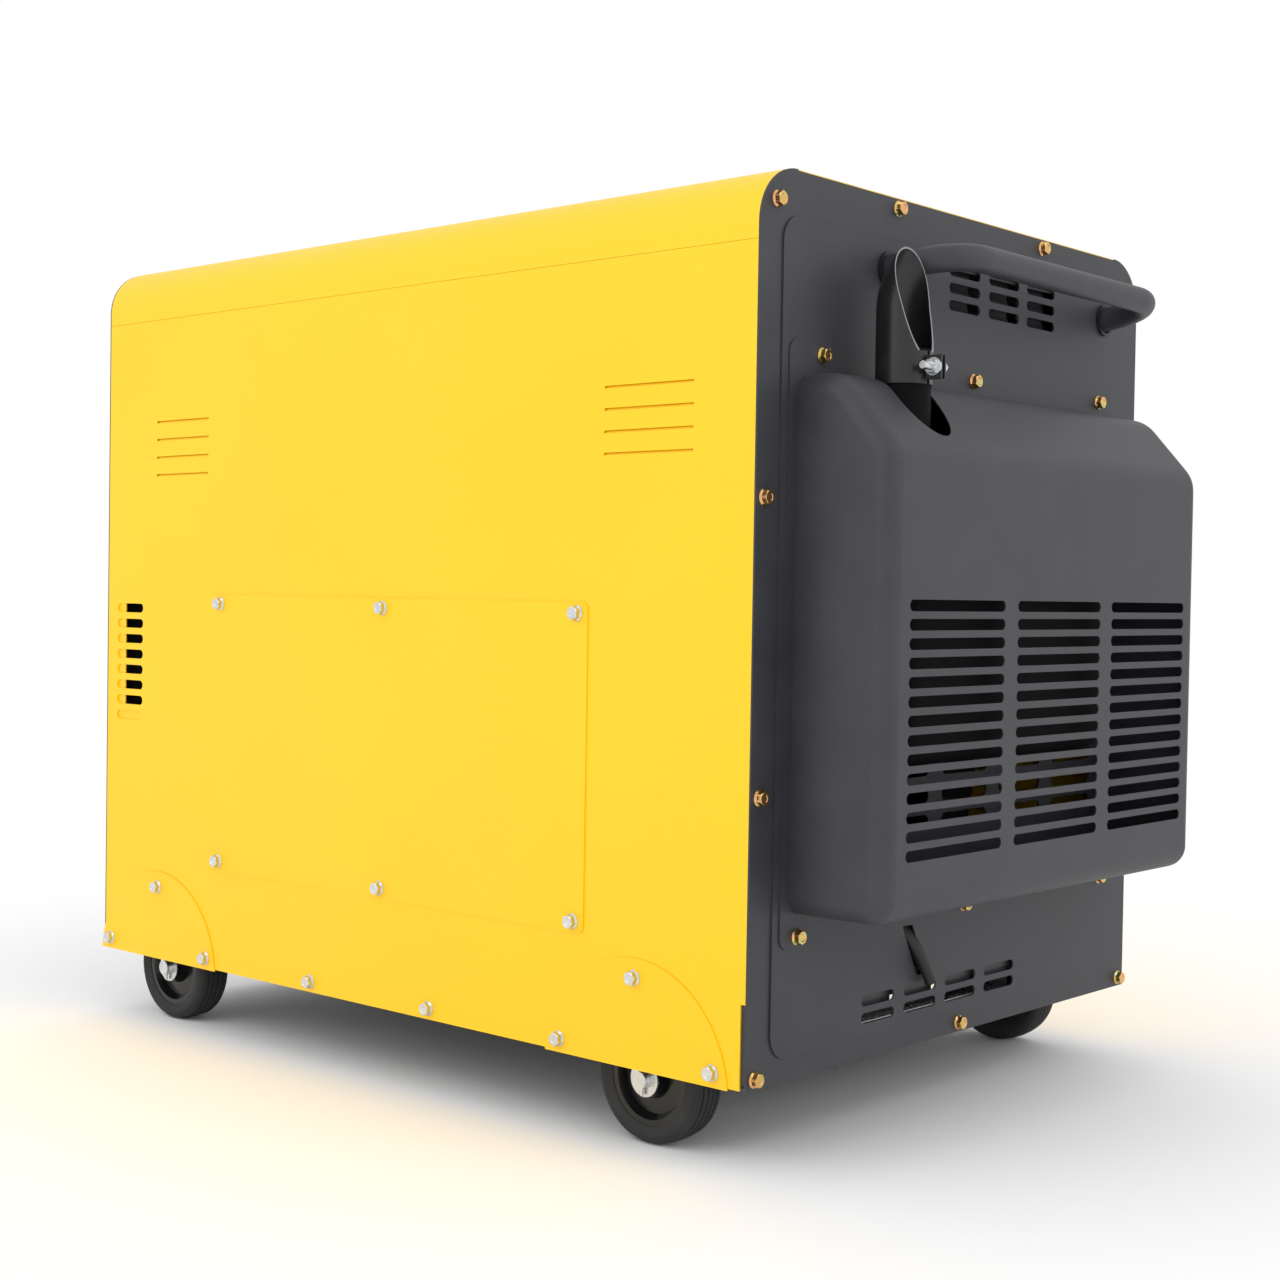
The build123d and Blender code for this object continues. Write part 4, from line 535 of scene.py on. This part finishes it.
hood_reach = 8 * MM
hood_drop = 6.5 * MM
hood_rise = 7.5 * MM
hood_gap = 0.4 * MM
hood_angle_step = 10
sheet = 1.0 * MM
upper_slots = [(-38.5, 9.5), (23.5, 73.0), (86.0, 134.0)]
upper_drops = (48.0, 62.2, 76.5)
hoods = bmesh.new()
hood_count = 0
for y_start, y_end in upper_slots:
    for drop in upper_drops:
        slot_height = roof_height - drop * MM
        section = [(rear_skin - hood_gap - hood_reach * sin(radians(a)),
                    slot_height - hood_drop + (hood_drop + hood_rise) * (1 - cos(radians(a))))
                   for a in range(0, 91, hood_angle_step)]
        bent_strip(hoods, ("y", (y_start - 2) * MM, (y_end - 5) * MM), section, sheet)
        hood_count += 1
low_slots = [(-146.0, -100.0), (-86.0, -38.5), (-25.0, 23.0), (37.0, 86.0)]
middle = canopy_foot + 47 * MM
low_hood_x = rear_skin - 5 * MM
low_section = [(low_hood_x, middle - 7 * MM), (low_hood_x, middle + 6 * MM),
               (rear_skin - hood_gap, middle + 9 * MM)]
for y_start, y_end in low_slots:
    bent_strip(hoods, ("y", (y_start - 3) * MM, (y_end + 3) * MM), low_section, sheet)
    hood_count += 1
finish_piece(hoods, "slot_hoods", "chassis", "frame_paint")
print("slot hoods:", hood_count)

slit_drop = 17.5 * MM
top_slit = canopy_foot + 531.3 * MM
slit_spans = [(rear_end - 153 * MM, rear_end - 61 * MM), (front_end + 83 * MM, front_end + 168 * MM)]
slits_per_field = 4
lip_overlap = 1 * MM
lip_sheet = 0.05 * MM
lips = bmesh.new()
for side in (-1, 1):
    for x_start, x_end in slit_spans:
        for row in range(slits_per_field):
            slit = top_slit - row * slit_drop
            inner = side * (side_half - skin)
            section = [(inner - side * 0.15 * MM, slit - 2.6 * MM),
                       (inner - side * 0.25 * MM, slit - 0.4 * MM),
                       (inner - side * 0.8 * MM, slit + 1.0 * MM),
                       (inner - side * 2.2 * MM, slit + 3.2 * MM)]
            bent_strip(lips, ("x", x_start - lip_overlap, x_end + lip_overlap), section, lip_sheet)
finish_piece(lips, "side_louvre_lips", "chassis", "yellow_powder_coat")
print("louvre lips:", 2 * len(slit_spans) * slits_per_field)

# %% [markdown]
# ## Cut rim of the elbow
# The elbow's mouth was sawn at a slant after it was bent, and paint is thin on a sawn edge, so bare
# steel shines along it. Above the mouth's sill, the cut's narrow faces are the only ones that look to
# the rear and lean to neither side.

# %% Cut rim
elbow_mesh = frame["nodes"]["exhaust_elbow"].data
elbow_mesh.materials.append(turned_steel)
mouth_sill_height = canopy_foot + 556 * MM
side_lean = 0.004
rearward = 0.1
rim_faces = 0
for face in elbow_mesh.polygons:
    looks_back = abs(face.normal.y) < side_lean and face.normal.x > rearward
    if looks_back and face.center.z > mouth_sill_height:
        face.material_index = 1
        rim_faces += 1
print("cut rim:", rim_faces, "faces")

# %% [markdown]
# ## Meter scale
# A panel meter has its scale printed on the dial, round the pivot of the needle. Each stroke is a film of
# pale ink, so it is a very thin block. Every fifth stroke is longer, and there are no figures.

# %% Meter scale
scale_ink = surfaced("scale_ink", ("#DADAD4", "#E6E6E0"), (0.50, 0.60), 0.0,
                     grain_mm=0.5, depth_mm=0.01, patch_mm=10)
lens_low, lens_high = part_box("voltmeter_lens")
window_recess = 3.0 * MM
pivot_drop = 14.0 * MM
pivot = Vector((lens_low.x + window_recess, (lens_low.y + lens_high.y) / 2,
                (lens_low.z + lens_high.z) / 2 - pivot_drop))
stroke_count = 11
strokes_per_long = 5
scale_half_angle = radians(45)
stroke_start, short_end, long_end = 19.5 * MM, 22.5 * MM, 25.0 * MM
stroke_half = 0.35 * MM
ink_rise = Vector((-0.08 * MM, 0, 0))
strokes = bmesh.new()
for index in range(stroke_count):
    angle = scale_half_angle * (2 * index / (stroke_count - 1) - 1)
    along = Vector((0, sin(angle), cos(angle)))
    across = Vector((0, cos(angle), -sin(angle))) * stroke_half
    foot = pivot + along * stroke_start
    tip = pivot + along * (long_end if index % strokes_per_long == 0 else short_end)
    outline = [foot - across, foot + across, tip + across, tip - across]
    under = [strokes.verts.new(corner) for corner in outline]
    over = [strokes.verts.new(corner + ink_rise) for corner in outline]
    strokes.faces.new(under)
    strokes.faces.new(over)
    for corner in range(4):
        after = (corner + 1) % 4
        strokes.faces.new((under[corner], under[after], over[after], over[corner]))
scale_marks = finish_piece(strokes, "meter_scale_marks", "chassis", "black_plastic")
scale_marks.data.materials.clear()
scale_marks.data.materials.append(scale_ink)
print("meter scale:", stroke_count, "strokes")

# %% [markdown]
# ## Studio
# The set stands on a plain white floor that runs on to the horizon. The light is one large soft source
# over the yellow side, a dimmer one off the rear end, and an even white sky, so shadows stay soft.
# The standard view shows a paint's own sRGB colour, where the filmic one would fade a strong yellow.

# %% Studio
floor_half = 14.0
floor_mesh = bpy.data.meshes.new("studio_floor")
floor_mesh.from_pydata([(-floor_half, -floor_half, 0), (floor_half, -floor_half, 0),
                        (floor_half, floor_half, 0), (-floor_half, floor_half, 0)], [], [(0, 1, 2, 3)])
floor_paint, _, _ = new_finish("studio_floor", "#FFFFFF", 0.9)
floor_mesh.materials.append(floor_paint)
floor = bpy.data.objects.new("studio_floor", floor_mesh)
bpy.context.scene.collection.objects.link(floor)


def soft_light(name, place, target, size, power):
    """A square area light that faces a target."""
    light = bpy.data.lights.new(name, "AREA")
    light.size = size
    light.energy = power
    lamp = bpy.data.objects.new(name, light)
    lamp.location = place
    lamp.rotation_euler = (Vector(target) - Vector(place)).to_track_quat("-Z", "Y").to_euler()
    bpy.context.scene.collection.objects.link(lamp)


soft_light("key_light", (-0.6, -3.6, 2.6), (0, 0, 0.35), 3.0, 26)
soft_light("end_light", (3.6, 0.6, 2.4), (0.3, 0, 0.4), 2.4, 16)
world = bpy.data.worlds.new("studio_sky")
world.use_nodes = True
world.node_tree.nodes["Background"].inputs["Color"].default_value = (1, 1, 1, 1)
world.node_tree.nodes["Background"].inputs["Strength"].default_value = 1.0
bpy.context.scene.world = world
bpy.context.scene.view_settings.view_transform = "Standard"
print("studio: floor, 2 lights and a white sky")
